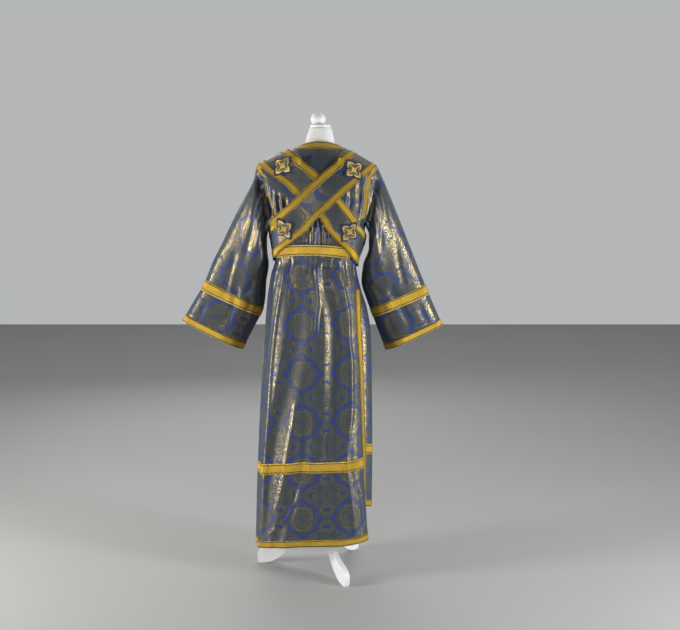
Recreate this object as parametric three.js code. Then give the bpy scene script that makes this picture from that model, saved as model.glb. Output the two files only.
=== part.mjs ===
// A sub-deacon's sticharion of blue and gold brocade, with its crossed orarion and waist ribbon,
// standing on a white dress form with three curved legs.
// Millimetres, +Z up. +X is the wearer's right and +Y is the way the wearer faces, so the back of
// the robe looks towards -Y. Every piece of cloth is a thin wall: the robe is hollow down to its hem.
import * as THREE from 'three';

// Driving dimensions
const CLOTH = 1.8; // wall of the brocade with its interlining
const ORARION_WALL = 1.8;
const BRAID = 1.0; // wall of the woven braid
const SEAM_GAP = 0.5; // between a panel and the braid that lies on it
const BUTT_GAP = 0.5; // between two braids that meet end to end
const WIDE_BRAID = 37; // bands, armholes and waist ribbon
const NARROW_BRAID = 24; // hems, slits, neck and the orarion's edges
const BACK_HEM = 125; // height of the hem over the floor
const FRONT_HEM = 216;
const FRONT_HEM_RISE = 14; // the girdle lifts the front's middle by this much more
const UNDERARM = 1225;
const NECK = { x: 8, half: 75, z: 1495, backRise: 16, frontDrop: 45, back: 52, front: 60 };
const SHOULDER = { left: { x: -210, z: 1433 }, right: { x: 206, z: 1427 } };
const SHOULDER_DROOP = 1.2; // the shoulder line falls a little faster towards its tip
const SHOULDER_SPREAD = { centre: -2, half: 294 }; // spaces the columns along the shoulder line
const SHOULDER_ROLL = { shoulder: 78, neck: 112, fullness: 0.72 }; // heights over which the cloth comes out
const SEAM_Y = 0.6; // half the space between the panels at the shoulder seam
const UNDERLAP_INSET = 10; // the front's side edges lie this far inside the back's
const UNDERLAP_FADE = 22; // degrees past the back's edge over which the front comes out again

// The panels' side edges turn inwards: how far, and over what width of cloth
const ARMHOLE_TUCK = { backLeft: 34, backRight: 24, frontRight: 22, frontLeft: 22, width: 46 };
const SLIT_TUCK_WIDTH = 34;
const SLIT_TUCK = [ // the back panel's right edge, where it turns away from the slit
  { z: 1010, depth: 0 },
  { z: 872, depth: 3 },
  { z: 700, depth: 13 },
  { z: 422, depth: 16 },
  { z: 340, depth: 21 },
  { z: 110, depth: 21 },
];

// The closed outline round the body at each height, before its folds
const BODY = [
  { z: 1520, centre: -2, half: 294, back: 104, front: 88, corner: 2.0 },
  { z: 1430, centre: -2, half: 294, back: 106, front: 96, corner: 2.0 },
  { z: 1388, centre: -1, half: 271, back: 114, front: 106, corner: 2.0 },
  { z: 1347, centre: 0, half: 252, back: 122, front: 116, corner: 2.0 },
  { z: 1290, centre: 1, half: 238, back: 128, front: 122, corner: 2.0 },
  { z: 1250, centre: 0, half: 212, back: 130, front: 122, corner: 2.15 },
  { z: 1225, centre: 0, half: 165, back: 129, front: 120, corner: 2.6 },
  { z: 1185, centre: 0, half: 161, back: 121, front: 114, corner: 2.6 },
  { z: 1146, centre: -2, half: 153, back: 110, front: 108, corner: 2.6 },
  { z: 1100, centre: -8, half: 142, back: 111, front: 107, corner: 2.5 },
  { z: 1062, centre: -12, half: 150, back: 119, front: 112, corner: 2.5 },
  { z: 1000, centre: -10, half: 163, back: 128, front: 120, corner: 2.6 },
  { z: 940, centre: -4, half: 176, back: 133, front: 126, corner: 2.6 },
  { z: 863, centre: -1, half: 186, back: 138, front: 131, corner: 2.6 },
  { z: 721, centre: -4, half: 194, back: 143, front: 136, corner: 2.7 },
  { z: 463, centre: -9, half: 203, back: 150, front: 142, corner: 2.9 },
  { z: 250, centre: -14, half: 207, back: 154, front: 146, corner: 3.2 },
  { z: 110, centre: -17, half: 208, back: 157, front: 148, corner: 3.4 },
];

// Where the panels' side edges run, in degrees round the body from the back's middle
const EDGES = [
  { z: 1520, backLeft: 45, backRight: 45, frontRight: 135, frontLeft: 135 },
  { z: 1290, backLeft: 45, backRight: 45, frontRight: 135, frontLeft: 135 },
  { z: 1250, backLeft: 50, backRight: 50, frontRight: 130, frontLeft: 130 },
  { z: 1236, backLeft: 64, backRight: 64, frontRight: 116, frontLeft: 116 },
  { z: 1225, backLeft: 86, backRight: 86, frontRight: 94, frontLeft: 94 },
  { z: 1165, backLeft: 94, backRight: 88, frontRight: 80, frontLeft: 86 },
  { z: 1100, backLeft: 97, backRight: 82, frontRight: 70, frontLeft: 86 },
  { z: 1062, backLeft: 97, backRight: 74, frontRight: 64, frontLeft: 86 },
  { z: 1001, backLeft: 97, backRight: 63, frontRight: 56, frontLeft: 86 },
  { z: 940, backLeft: 97, backRight: 51, frontRight: 49, frontLeft: 86 },
  { z: 863, backLeft: 97, backRight: 46.7, frontRight: 46, frontLeft: 86 },
  { z: 721, backLeft: 97, backRight: 47, frontRight: 43, frontLeft: 86 },
  { z: 541, backLeft: 97, backRight: 49.2, frontRight: 43, frontLeft: 86 },
  { z: 392, backLeft: 97, backRight: 52, frontRight: 45, frontLeft: 86 },
  { z: 250, backLeft: 97, backRight: 60, frontRight: 52, frontLeft: 86 },
  { z: 110, backLeft: 97, backRight: 70, frontRight: 60, frontLeft: 86 },
];

// The large folds below the waist, each a trough: its turn round the body and its depth where it
// starts, at the thigh, at the knee and at the hem, and how many degrees it reaches to each side
const FOLD_HEIGHTS = { thigh: 850, knee: 450, hem: 110 };
const SKIRT_FOLDS = [
  { start: 1130, turn: -20, thighTurn: -23.5, kneeTurn: -39.5, hemTurn: -44, thigh: 18, knee: 14, hem: 8, reach: 11 },
  { start: 1130, turn: 17, thighTurn: 18, kneeTurn: 17, hemTurn: 14, thigh: 13, knee: 6, hem: 3, reach: 12 },
  { start: 1050, turn: 50, thighTurn: 48, kneeTurn: 50, hemTurn: 68, thigh: 7, knee: 8, hem: 13, reach: 14 },
  { start: 760, turn: -8, thighTurn: -8, kneeTurn: -12, hemTurn: -37, thigh: 0, knee: 10, hem: 10, reach: 10 },
  { start: 1130, turn: -62, thighTurn: -66, kneeTurn: -67, hemTurn: -68, thigh: 9, knee: 9, hem: 10, reach: 13 },
  { start: 1130, turn: -92, thighTurn: -94, kneeTurn: -95, hemTurn: -96, thigh: 5, knee: 7, hem: 9, reach: 12 },
  { start: 1130, turn: -128, thighTurn: -125, kneeTurn: -122, hemTurn: -120, thigh: 11, knee: 12, hem: 12, reach: 12 },
  { start: 1130, turn: -152, thighTurn: -155, kneeTurn: -157, hemTurn: -158, thigh: 13, knee: 14, hem: 12, reach: 12 },
  { start: 1130, turn: 178, thighTurn: 176, kneeTurn: 178, hemTurn: 180, thigh: 7, knee: 9, hem: 8, reach: 9 },
  { start: 1130, turn: 154, thighTurn: 157, kneeTurn: 160, hemTurn: 163, thigh: 12, knee: 13, hem: 10, reach: 12 },
  { start: 1130, turn: 130, thighTurn: 127, kneeTurn: 125, hemTurn: 124, thigh: 11, knee: 14, hem: 13, reach: 12 },
  { start: 1100, turn: 94, thighTurn: 90, kneeTurn: 88, hemTurn: 92, thigh: 6, knee: 7, hem: 9, reach: 12 },
];

// Small gathers drawn up by the waist ribbon: strongest at the waist, gone by the shoulder blades
const GATHERS = { perBack: 8, perFront: 5, depth: 6.5, strongest: 1150, above: 150, below: 62 };

// Rows of the panels: shares of the way from the shoulder line down to the underarm, then heights
const YOKE_ROWS = [0, 0.015, 0.05, 0.11, 0.2, 0.31, 0.43, 0.56, 0.7, 0.85, 1];
const SKIRT_ROWS = [1185, 1165, 1146, 1127, 1100, 1065, 1010, 940, 850, 740, 630, 520];
const SLIT_ROW = 17; // the slits' braids start at this row, 1010 mm up
const BAND_TOP = 422; // upper edge of the wide braid near the hem
const FRONT_BAND_TOP = 444;
const LOWER_ROW = { back: 290, front: 304 }; // one more row between that braid and the hem
const YOKE_TOP = 1430; // the height that stands for the shoulder line where the panels' edges are looked up
const TUCK_START = 0.15; // shares of the armhole over which its inward turn grows and dies out
const TUCK_END = 0.22;
const HEM_RISE = { below: 640, from: 1000, over: 700 }; // how the front hem's rise spreads up the skirt
const BACK_COLUMNS = 32; // even spaces across the back between its side braids
const FRONT_COLUMNS = 20;

// The orarion's stretches: the two edges of the strip at each station, as degrees round and height.
// "from" is the edge nearer the neck, "to" the outer one.
const ORARION_BACK_LEFT = [ // left shoulder to the right side of the waist, underneath
  { from: -19.9, fromZ: 1486, to: -43.5, toZ: 1439 },
  { from: -13.5, fromZ: 1462, to: -36, toZ: 1408 },
  { from: -5, fromZ: 1427, to: -25, toZ: 1366 },
  { from: 3.5, fromZ: 1390, to: -15.5, toZ: 1324 },
  { from: 12.5, fromZ: 1346, to: -5.5, toZ: 1286 },
  { from: 22, fromZ: 1302, to: 3.5, toZ: 1247 },
  { from: 35, fromZ: 1258, to: 15.5, toZ: 1202 },
  { from: 57, fromZ: 1219, to: 34, toZ: 1150 },
  { from: 75, fromZ: 1196, to: 60, toZ: 1105 },
  { from: 90, fromZ: 1186, to: 88, toZ: 1086 },
];
const ORARION_BACK_RIGHT = [ // right shoulder to the left side of the waist, on top
  { from: 22.2, fromZ: 1479, to: 43.2, toZ: 1428 },
  { from: 15.5, fromZ: 1451, to: 36.5, toZ: 1398 },
  { from: 7, fromZ: 1413, to: 27.5, toZ: 1358 },
  { from: -2.5, fromZ: 1374, to: 17, toZ: 1316 },
  { from: -12.5, fromZ: 1335, to: 7, toZ: 1276 },
  { from: -22.5, fromZ: 1300, to: -3.5, toZ: 1238 },
  { from: -36, fromZ: 1265, to: -17, toZ: 1200 },
  { from: -55, fromZ: 1237, to: -38, toZ: 1157 },
  { from: -74, fromZ: 1216, to: -62, toZ: 1121 },
  { from: -90, fromZ: 1206, to: -88, toZ: 1106 },
];
const ORARION_GIRDLE = [ // round the front of the waist, from the right side to the left
  { from: 90.3, fromZ: 1186, to: 88.3, toZ: 1086 },
  { from: 112, fromZ: 1180, to: 111, toZ: 1080 },
  { from: 135, fromZ: 1178, to: 135, toZ: 1078 },
  { from: 160, fromZ: 1180, to: 160, toZ: 1080 },
  { from: 185, fromZ: 1184, to: 185, toZ: 1084 },
  { from: 210, fromZ: 1189, to: 210, toZ: 1089 },
  { from: 235, fromZ: 1195, to: 235, toZ: 1095 },
  { from: 252, fromZ: 1201, to: 252, toZ: 1101 },
  { from: 269.7, fromZ: 1206, to: 271.7, toZ: 1106 },
];
const TAIL_END = 800; // the two ends hang to here below the girdle
const ORARION_FRONT_RIGHT = [ // over the right shoulder, down the front and under the girdle
  { from: 157.8, fromZ: 1479, to: 136.8, toZ: 1428 },
  { from: 160, fromZ: 1440, to: 140, toZ: 1395 },
  { from: 164, fromZ: 1385, to: 143, toZ: 1360 },
  { from: 169, fromZ: 1310, to: 145, toZ: 1300 },
  { from: 172.5, fromZ: 1245, to: 143, toZ: 1240 },
  { from: 174.5, fromZ: 1190, to: 136, toZ: 1188 },
  { from: 175, fromZ: 1130, to: 133, toZ: 1130 },
  { from: 175.5, fromZ: 1070, to: 134, toZ: 1070 },
  { from: 175.5, fromZ: 990, to: 138, toZ: 990 },
  { from: 175.5, fromZ: 900, to: 140, toZ: 900 },
  { from: 175.5, fromZ: TAIL_END, to: 141.5, toZ: TAIL_END },
];
const ORARION_FRONT_LEFT = ORARION_FRONT_RIGHT.map((station, i) => ({
  from: 360 - station.from + (i === 0 ? 2.1 : 0),
  fromZ: station.fromZ + (i === 0 ? 7 : 0),
  to: 360 - station.to,
  toZ: station.toZ + (i === 0 ? 8 : 0),
}));
const STRIP_STEPS = { diagonal: 20, girdle: 18, front: 17 };
const CROWDING = { diagonal: 1.3, girdle: 1, front: 1.6 }; // stations crowd where the strips bend most
const ORARION_WIDTH = 100;
const OVER_BODY = 4.3; // the orarion's lining over the body's outline
const OVER_SHOULDER = 2.2; // where it lies on the armhole's braid
const CROSSING_LIFT = 5.2; // how much higher the upper stretch lies where the two cross
const GIRDLE_LIFT = 6.6; // the girdle lies over the two hanging ends

// The waist ribbon across the back
const RIBBON = { left: -68, right: 47, middle: 1146, drop: 15, lift: 1.2 };

// Sewn crosses on the back: which stretch, how far along it, and how high over it
const CROSSES = [
  { name: 'cross_upper_left', stretch: 'left', along: 0.165, lift: 2.4 },
  { name: 'cross_lower_right', stretch: 'left', along: 0.75, lift: 2.4 },
  { name: 'cross_upper_right', stretch: 'right', along: 0.172, lift: 3.25 },
  { name: 'cross_lower_left', stretch: 'right', along: 0.75, lift: 2.4 },
];
const CROSS = { across: 78, along: 70, wall: 1.6, raise: 1.3, waist: 0.42 };

// Sleeves: the outer and inner edges of the flattened tube at each share of its length
const SLEEVE_RIGHT = [
  { s: 0, outerX: 206, outerZ: 1428, innerX: 165, innerZ: 1225, thick: 86, y: -1 },
  { s: 0.08, outerX: 222, outerZ: 1394, innerX: 177, innerZ: 1196, thick: 84, y: -2 },
  { s: 0.2, outerX: 247, outerZ: 1335, innerX: 177, innerZ: 1150, thick: 77, y: 0 },
  { s: 0.34, outerX: 284, outerZ: 1245, innerX: 158, innerZ: 1092, thick: 67, y: 3 },
  { s: 0.48, outerX: 321, outerZ: 1153, innerX: 152, innerZ: 1032, thick: 58, y: 6 },
  { s: 0.62, outerX: 352, outerZ: 1076, innerX: 170, innerZ: 968, thick: 52, y: 8 },
  { s: 0.74, outerX: 379, outerZ: 1011, innerX: 184, innerZ: 931, thick: 50, y: 9 },
  { s: 0.87, outerX: 409, outerZ: 942, innerX: 212, innerZ: 857, thick: 50, y: 10 },
  { s: 1, outerX: 438, outerZ: 877, innerX: 238, innerZ: 789, thick: 52, y: 10 },
];
const SLEEVE_LEFT = [
  { s: 0, outerX: -210, outerZ: 1434, innerX: -165, innerZ: 1225, thick: 86, y: -1 },
  { s: 0.08, outerX: -217, outerZ: 1398, innerX: -177, innerZ: 1196, thick: 85, y: -2 },
  { s: 0.2, outerX: -245, outerZ: 1340, innerX: -177, innerZ: 1150, thick: 80, y: 0 },
  { s: 0.34, outerX: -288, outerZ: 1258, innerX: -172, innerZ: 1092, thick: 72, y: 3 },
  { s: 0.48, outerX: -331, outerZ: 1171, innerX: -181, innerZ: 1032, thick: 62, y: 6 },
  { s: 0.62, outerX: -371, outerZ: 1093, innerX: -186, innerZ: 968, thick: 54, y: 8 },
  { s: 0.74, outerX: -398, outerZ: 1028, innerX: -194, innerZ: 933, thick: 51, y: 9 },
  { s: 0.87, outerX: -438, outerZ: 960, innerX: -229, innerZ: 864, thick: 50, y: 10 },
  { s: 1, outerX: -478, outerZ: 892, innerX: -266, innerZ: 792, thick: 52, y: 10 },
];
// How full the tube is across its width, from the outer edge (-1) to the inner (1)
const SLEEVE_FULLNESS = [
  { across: -1, back: 0, front: 0 },
  { across: -0.85, back: 0.26, front: 0.26 },
  { across: -0.5, back: 0.52, front: 0.5 },
  { across: 0, back: 0.84, front: 0.78 },
  { across: 0.35, back: 1, front: 0.86 },
  { across: 0.6, back: 0.86, front: 0.72 },
  { across: 0.85, back: 0.45, front: 0.42 },
  { across: 1, back: 0.1, front: 0.1 },
];
const SLEEVE_BAND = { top: 0.722, bottom: 0.788 };
const SLEEVE_CUFF = 0.957; // where the cuff's braid starts
const SLEEVE_ROWS = [0, 0.06, 0.14, 0.25, 0.38, 0.5, 0.62, SLEEVE_BAND.top, SLEEVE_BAND.bottom, 0.87, SLEEVE_CUFF, 1];
const SLEEVE_SEAM_GAP = 0.5;
const SLEEVE_BLEND = 0.3; // share of the length over which the armhole's outline dies out

// The dress form under the robe: its level sections, then its shoulders, which carry the cloth and
// so follow the robe's own shoulder line, then its neck
const FORM_BODY = [
  { z: 858, left: -110, right: 106, back: 84, front: 80 },
  { z: 864, left: -124, right: 120, back: 94, front: 92 },
  { z: 905, left: -140, right: 136, back: 100, front: 98 },
  { z: 970, left: -136, right: 132, back: 98, front: 96 },
  { z: 1040, left: -118, right: 114, back: 90, front: 88 },
  { z: 1105, left: -105, right: 103, back: 84, front: 82 },
  { z: 1170, left: -115, right: 113, back: 90, front: 94 },
  { z: 1250, left: -133, right: 131, back: 98, front: 104 },
  { z: 1330, left: -149, right: 149, back: 98, front: 98 },
  { z: 1385, left: -168, right: 169, back: 84, front: 78 },
  { z: 1415, left: -184, right: 184, back: 66, front: 60 },
];
const FORM_SHOULDERS = [
  { share: 0.82, back: 52, front: 46 },
  { share: 0.56, back: 40, front: 37 },
  { share: 0.36, back: 28, front: 25 },
  { share: 0.2, back: 14, front: 11 },
];
const FORM_NECK = [
  { z: 1494, left: -46, right: 62, back: 40, front: 40 },
  { z: 1526, left: -39, right: 56, back: 41, front: 41 },
  { z: 1560, left: -28, right: 48, back: 36, front: 36 },
];
const FORM_CLEARANCE = 0.55; // between the form's shoulders and the cloth that rests on them
const FORM_SIDES = 28;
const NECK_CAP = { x: 10, radius: 35, bottom: 1560.4, top: 1571 };
const KNOB = { x: 2, radius: 26, bottom: 1571.4, top: 1612, stem: 13 };
const POLE = { radius: 15, bottom: 262.4, top: 857.6, sides: 20 };
const HUB = { radius: 24, bottom: 162, top: 262, sides: 24 };
const LEG = { thick: 18, inner: 24.4, root: 250, foot: 220, footWidth: 20, turns: [171, 51, 297] };

const radians = (degrees) => (degrees * Math.PI) / 180;
const clamp = (x, low, high) => Math.min(high, Math.max(low, x));
const mix = (a, b, t) => a + (b - a) * t;
const smooth = (x) => clamp(x, 0, 1) ** 2 * (3 - 2 * clamp(x, 0, 1));
const bell = (x) => (Math.abs(x) < 1 ? (1 - x * x) ** 2 : 0);

/** A smooth curve through pairs [x, value] that never overshoots them. */
function curve(pairs) {
  const rows = [...pairs].sort((a, b) => a[0] - b[0]);
  const steps = rows.slice(1).map((row, i) => (row[1] - rows[i][1]) / (row[0] - rows[i][0]));
  const slopes = rows.map((_, i) => {
    const before = steps[i - 1] ?? steps[i];
    const after = steps[i] ?? steps[i - 1];
    return before * after <= 0 ? 0 : (2 * before * after) / (before + after);
  });
  return (x) => {
    if (x <= rows[0][0]) return rows[0][1];
    if (x >= rows.at(-1)[0]) return rows.at(-1)[1];
    const i = rows.findIndex((row) => row[0] > x) - 1;
    const width = rows[i + 1][0] - rows[i][0];
    const t = (x - rows[i][0]) / width;
    const low = (1 + 2 * t) * (1 - t) ** 2 * rows[i][1] + t * (1 - t) ** 2 * width * slopes[i];
    return low + t * t * (3 - 2 * t) * rows[i + 1][1] + t * t * (t - 1) * width * slopes[i + 1];
  };
}

/** The curve of one named column of a table against another. */
const column = (table, key, name) => curve(table.map((row) => [row[key], row[name]]));

const bodyAt = Object.fromEntries(['centre', 'half', 'back', 'front', 'corner'].map((n) => [n, column(BODY, 'z', n)]));
const edgeAt = Object.fromEntries(
  ['backLeft', 'backRight', 'frontRight', 'frontLeft'].map((n) => [n, column(EDGES, 'z', n)]),
);
const slitTuck = column(SLIT_TUCK, 'z', 'depth');
const folds = SKIRT_FOLDS.map((fold) => {
  const { thigh, knee, hem } = FOLD_HEIGHTS;
  const turns = [[thigh, fold.thighTurn], [knee, fold.kneeTurn], [hem, fold.hemTurn]];
  const depths = [[thigh, fold.thigh], [knee, fold.knee], [hem, fold.hem]].filter(([z]) => z < fold.start);
  return {
    turn: curve(fold.start > thigh ? [[fold.start, fold.turn], ...turns] : turns),
    depth: curve([[fold.start, 0], ...depths]),
    reach: fold.reach,
  };
});

/** The shoulder line and neckline over a column: its top point on the back or the front. */
function topEdge(turn) {
  const onBack = Math.cos(radians(turn)) > 0;
  const x = SHOULDER_SPREAD.centre + SHOULDER_SPREAD.half * Math.sin(radians(turn));
  const across = (x - NECK.x) / NECK.half;
  if (Math.abs(across) < 1) {
    const open = Math.sqrt(1 - across * across);
    const z = NECK.z + (onBack ? NECK.backRise : -NECK.frontDrop) * open * open;
    return { x, y: onBack ? -SEAM_Y - NECK.back * open : SEAM_Y + NECK.front * open, z, neck: open };
  }
  const tip = across < 0 ? SHOULDER.left : SHOULDER.right;
  const start = NECK.x + Math.sign(across) * NECK.half;
  const share = (x - start) / (tip.x - start);
  return { x, y: onBack ? -SEAM_Y : SEAM_Y, z: NECK.z - (NECK.z - tip.z) * share ** SHOULDER_DROOP, neck: 0 };
}

/** A point of the body's outline, without folds: turn in degrees round from the back's middle. */
function outline(turn, z) {
  const s = Math.sin(radians(turn));
  const c = Math.cos(radians(turn));
  const n = bodyAt.corner(z);
  const r = (Math.abs(s) ** n + Math.abs(c) ** n) ** (-1 / n);
  const depth = c > 0 ? bodyAt.back(z) : bodyAt.front(z);
  const point = new THREE.Vector3(bodyAt.centre(z) + bodyAt.half(z) * r * s, -depth * r * c, z);
  const top = topEdge(turn);
  const inNeck = smooth(top.neck * 1.4);
  const roll = mix(SHOULDER_ROLL.shoulder, SHOULDER_ROLL.neck, inNeck);
  const down = clamp((top.z - z) / roll, 0, 1);
  const rounded = (1 - (1 - down) ** 2) ** mix(SHOULDER_ROLL.fullness, 1, inNeck);
  point.y = mix(top.y, point.y, rounded);
  return point;
}

/** How far the cloth falls inside its outline. "share" is the place across its panel, 0 to 1. */
function foldDepth(turn, z, share, gathers) {
  let depth = 0;
  for (const fold of folds) {
    const off = ((turn - fold.turn(z) + 540) % 360) - 180;
    depth = Math.max(depth, fold.depth(z) * bell(off / fold.reach));
  }
  const span = z > GATHERS.strongest ? GATHERS.above : GATHERS.below;
  const drawn = bell((z - GATHERS.strongest) / span);
  const wave = (0.5 - 0.5 * Math.cos(2 * Math.PI * share * gathers)) * (0.75 + 0.25 * Math.sin(9 * share));
  return Math.max(depth, GATHERS.depth * drawn * wave * smooth((0.5 - Math.abs(share - 0.5)) * 14));
}

/** The outward direction of the body's outline at a place. */
function outward(turn, z) {
  const step = 0.4;
  const side = outline(turn + step, z).sub(outline(turn - step, z));
  const lower = outline(turn, z - 2).sub(outline(turn, z));
  const normal = lower.cross(side).normalize();
  return normal;
}

/** A closed wall between an outer and an inner grid of points. "round" joins the last column to the first. */
function wall(outer, inner, round = false) {
  const rows = outer.length;
  const columns = outer[0].length;
  const positions = [...outer.flat(), ...inner.flat()].flatMap((p) => [p.x, p.y, p.z]);
  const out = (i, j) => i * columns + (j % columns);
  const inn = (i, j) => rows * columns + out(i, j);
  const faces = [];
  const quad = (a, b, c, d) => faces.push([a, b, c], [a, c, d]);
  const spans = round ? columns : columns - 1;
  for (let i = 0; i < rows - 1; i++) {
    for (let j = 0; j < spans; j++) {
      quad(out(i, j), out(i + 1, j), out(i + 1, j + 1), out(i, j + 1));
      faces.push([inn(i, j), inn(i + 1, j + 1), inn(i + 1, j)], [inn(i, j), inn(i, j + 1), inn(i + 1, j + 1)]);
    }
  }
  for (let j = 0; j < spans; j++) {
    quad(out(0, j), out(0, j + 1), inn(0, j + 1), inn(0, j));
    quad(out(rows - 1, j + 1), out(rows - 1, j), inn(rows - 1, j), inn(rows - 1, j + 1));
  }
  if (!round) {
    for (let i = 0; i < rows - 1; i++) {
      quad(out(i + 1, 0), out(i, 0), inn(i, 0), inn(i + 1, 0));
      quad(out(i, columns - 1), out(i + 1, columns - 1), inn(i + 1, columns - 1), inn(i, columns - 1));
    }
  }
  return closedGeometry(positions, faces);
}

/** A geometry from points and faces, turned right side out. */
function closedGeometry(positions, faces) {
  const at = (i) => new THREE.Vector3(...positions.slice(3 * i, 3 * i + 3));
  const volume = faces.reduce((sum, [a, b, c]) => sum + at(a).dot(at(b).cross(at(c))), 0);
  const index = faces.flatMap(([a, b, c]) => (volume > 0 ? [a, b, c] : [a, c, b]));
  const geometry = new THREE.BufferGeometry();
  geometry.setAttribute('position', new THREE.Float32BufferAttribute(positions, 3));
  geometry.setIndex(index);
  return geometry;
}

/** Points of a grid moved along their normals. */
const moved = (points, normals, by) =>
  points.map((row, i) => row.map((p, j) => p.clone().addScaledVector(normals[i][j], by)));

/** Outward normals of a grid whose rows run down and whose columns run round it. */
function gridNormals(points, round = false) {
  const columns = points[0].length;
  const beside = (j) => (round ? (j + columns) % columns : clamp(j, 0, columns - 1));
  const near = (i, j) => points[clamp(i, 0, points.length - 1)][beside(j)];
  return points.map((row, i) =>
    row.map((_, j) => {
      const down = near(i + 1, j).clone().sub(near(i - 1, j));
      const side = near(i, j + 1).clone().sub(near(i, j - 1));
      return down.cross(side).normalize();
    }),
  );
}

/** Part of a grid, its first and last columns drawn in a little so that it meets its neighbours end to end. */
function cutOut(points, firstRow, lastRow, firstColumn, lastColumn, drawIn = 0) {
  return points.slice(firstRow, lastRow + 1).map((row) => {
    const part = row.slice(firstColumn, lastColumn + 1).map((p) => p.clone());
    if (drawIn > 0) {
      for (const [end, next] of [[0, 1], [part.length - 1, part.length - 2]]) {
        part[end].lerp(part[next], drawIn / part[end].distanceTo(part[next]));
      }
    }
    return part;
  });
}

/** Braid that lies on part of a panel: made from the panel's own points, moved out. */
function braidOn(panel, rows, columns, drawIn = 0) {
  const base = cutOut(panel.points, rows[0], rows[1], columns[0], columns[1], drawIn);
  const normals = cutOut(panel.normals, rows[0], rows[1], columns[0], columns[1]);
  return wall(moved(base, normals, SEAM_GAP + BRAID), moved(base, normals, SEAM_GAP));
}

/** The angle that lies a given width of cloth in from a panel's edge. */
function inFromEdge(turn, z, width, direction) {
  const speed = outline(turn + direction, z).distanceTo(outline(turn, z));
  return turn + (direction * width) / speed;
}

/** How far a panel's side edge turns inwards. "down" is the share of the way from shoulder to underarm. */
function edgeTuck(isBack, turn, z, [first, last], down) {
  const pace = outline(turn + 0.5, z).distanceTo(outline(turn - 0.5, z));
  const ramp = (apart, width) => smooth(1 - (apart * pace) / width);
  if (down < 1) {
    const { width } = ARMHOLE_TUCK;
    const low = isBack ? ARMHOLE_TUCK.backLeft : ARMHOLE_TUCK.frontRight;
    const high = isBack ? ARMHOLE_TUCK.backRight : ARMHOLE_TUCK.frontLeft;
    const ends = smooth(down / TUCK_START) * smooth((1 - down) / TUCK_END);
    return ends * (low * ramp(turn - first, width) + high * ramp(last - turn, width));
  }
  return isBack ? slitTuck(z) * ramp(last - turn, SLIT_TUCK_WIDTH) : 0;
}

/** The grid of a front or back panel: side braids of true width, and even columns between them. */
function panelGrid(isBack) {
  const hem = (turn) => {
    const rise = FRONT_HEM_RISE * (0.5 - 0.5 * Math.cos(radians(turn))) ** 4;
    return isBack ? BACK_HEM : FRONT_HEM + rise;
  };
  const bandTop = isBack ? BAND_TOP : FRONT_BAND_TOP;
  const heights = [
    ...SKIRT_ROWS, bandTop, bandTop - WIDE_BRAID,
    isBack ? LOWER_ROW.back : LOWER_ROW.front, hem(0) + NARROW_BRAID, hem(0),
  ];
  const evenColumns = isBack ? BACK_COLUMNS : FRONT_COLUMNS;
  const rows = [];
  const anglesAt = (z) => {
    const first = isBack ? -edgeAt.backLeft(z) : edgeAt.frontRight(z);
    const last = isBack ? edgeAt.backRight(z) : 360 - edgeAt.frontLeft(z);
    const width = z > UNDERARM - 1 ? WIDE_BRAID : NARROW_BRAID;
    const low = inFromEdge(first, Math.min(z, 1400), width, 1);
    const high = inFromEdge(last, Math.min(z, 1400), width, -1);
    const even = Array.from({ length: evenColumns + 1 }, (_, k) => mix(low, high, k / evenColumns));
    return [first, ...even, last];
  };
  const place = (turn, z, guide, down) => {
    const [first, last] = [guide[0], guide.at(-1)];
    const share = (turn - first) / (last - first);
    const fold = foldDepth(turn, z, share, isBack ? GATHERS.perBack : GATHERS.perFront);
    const over = isBack ? 0 : underlap(turn, z);
    const tuck = edgeTuck(isBack, turn, z, [first, last], down);
    return outline(turn, z).addScaledVector(outward(turn, z), -fold - over - tuck);
  };
  for (const down of YOKE_ROWS) {
    const guide = anglesAt(mix(YOKE_TOP, UNDERARM, down));
    rows.push(guide.map((turn) => place(turn, mix(topEdge(turn).z, UNDERARM, down), guide, down)));
  }
  for (const height of heights) {
    const guide = anglesAt(height);
    const share = height < HEM_RISE.below ? smooth((HEM_RISE.from - height) / HEM_RISE.over) : 0;
    rows.push(guide.map((turn) => place(turn, height + (hem(turn) - hem(0)) * share, guide, 1)));
  }
  const normals = gridNormals(rows);
  for (const normal of normals[0]) {
    normal.setY(0).normalize(); // so that the two panels stay apart at the shoulder seam
  }
  return { points: rows, normals, bandRow: YOKE_ROWS.length + SKIRT_ROWS.length, columns: rows[0].length };
}

/** How far in the front panel lies where it is under the back one, fading out past the back's edge. */
function underlap(turn, z) {
  if (z > UNDERARM) return 0;
  const down = smooth((UNDERARM - z) / 40);
  const right = 1 - smooth((turn - edgeAt.backRight(z)) / UNDERLAP_FADE);
  const left = 1 - smooth((360 - turn - edgeAt.backLeft(z)) / UNDERLAP_FADE);
  return down * Math.max((UNDERLAP_INSET + slitTuck(z)) * right, UNDERLAP_INSET * left);
}

/** A strip that lies over the body's outline: a grid of points, and the same points moved out. */
function stripGrid(stations, steps, across, crowding) {
  const along = (name) => curve(stations.map((row, i) => [i / (stations.length - 1), row[name]]));
  const at = Object.fromEntries(['from', 'fromZ', 'to', 'toZ'].map((name) => [name, along(name)]));
  const points = [];
  const normals = [];
  const shareAt = (i) => (i / steps) ** crowding;
  for (let i = 0; i <= steps; i++) {
    const share = shareAt(i);
    const line = across.map((t) => [mix(at.from(share), at.to(share), t), mix(at.fromZ(share), at.toZ(share), t)]);
    const kept = line.map(([turn, z]) => [turn, Math.min(z, topEdge(turn).z)]);
    points.push(kept.map(([turn, z]) => outline(turn, z)));
    normals.push(kept.map(([turn, z]) => outward(turn, z)));
  }
  return { points, normals, share: shareAt };
}

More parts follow.
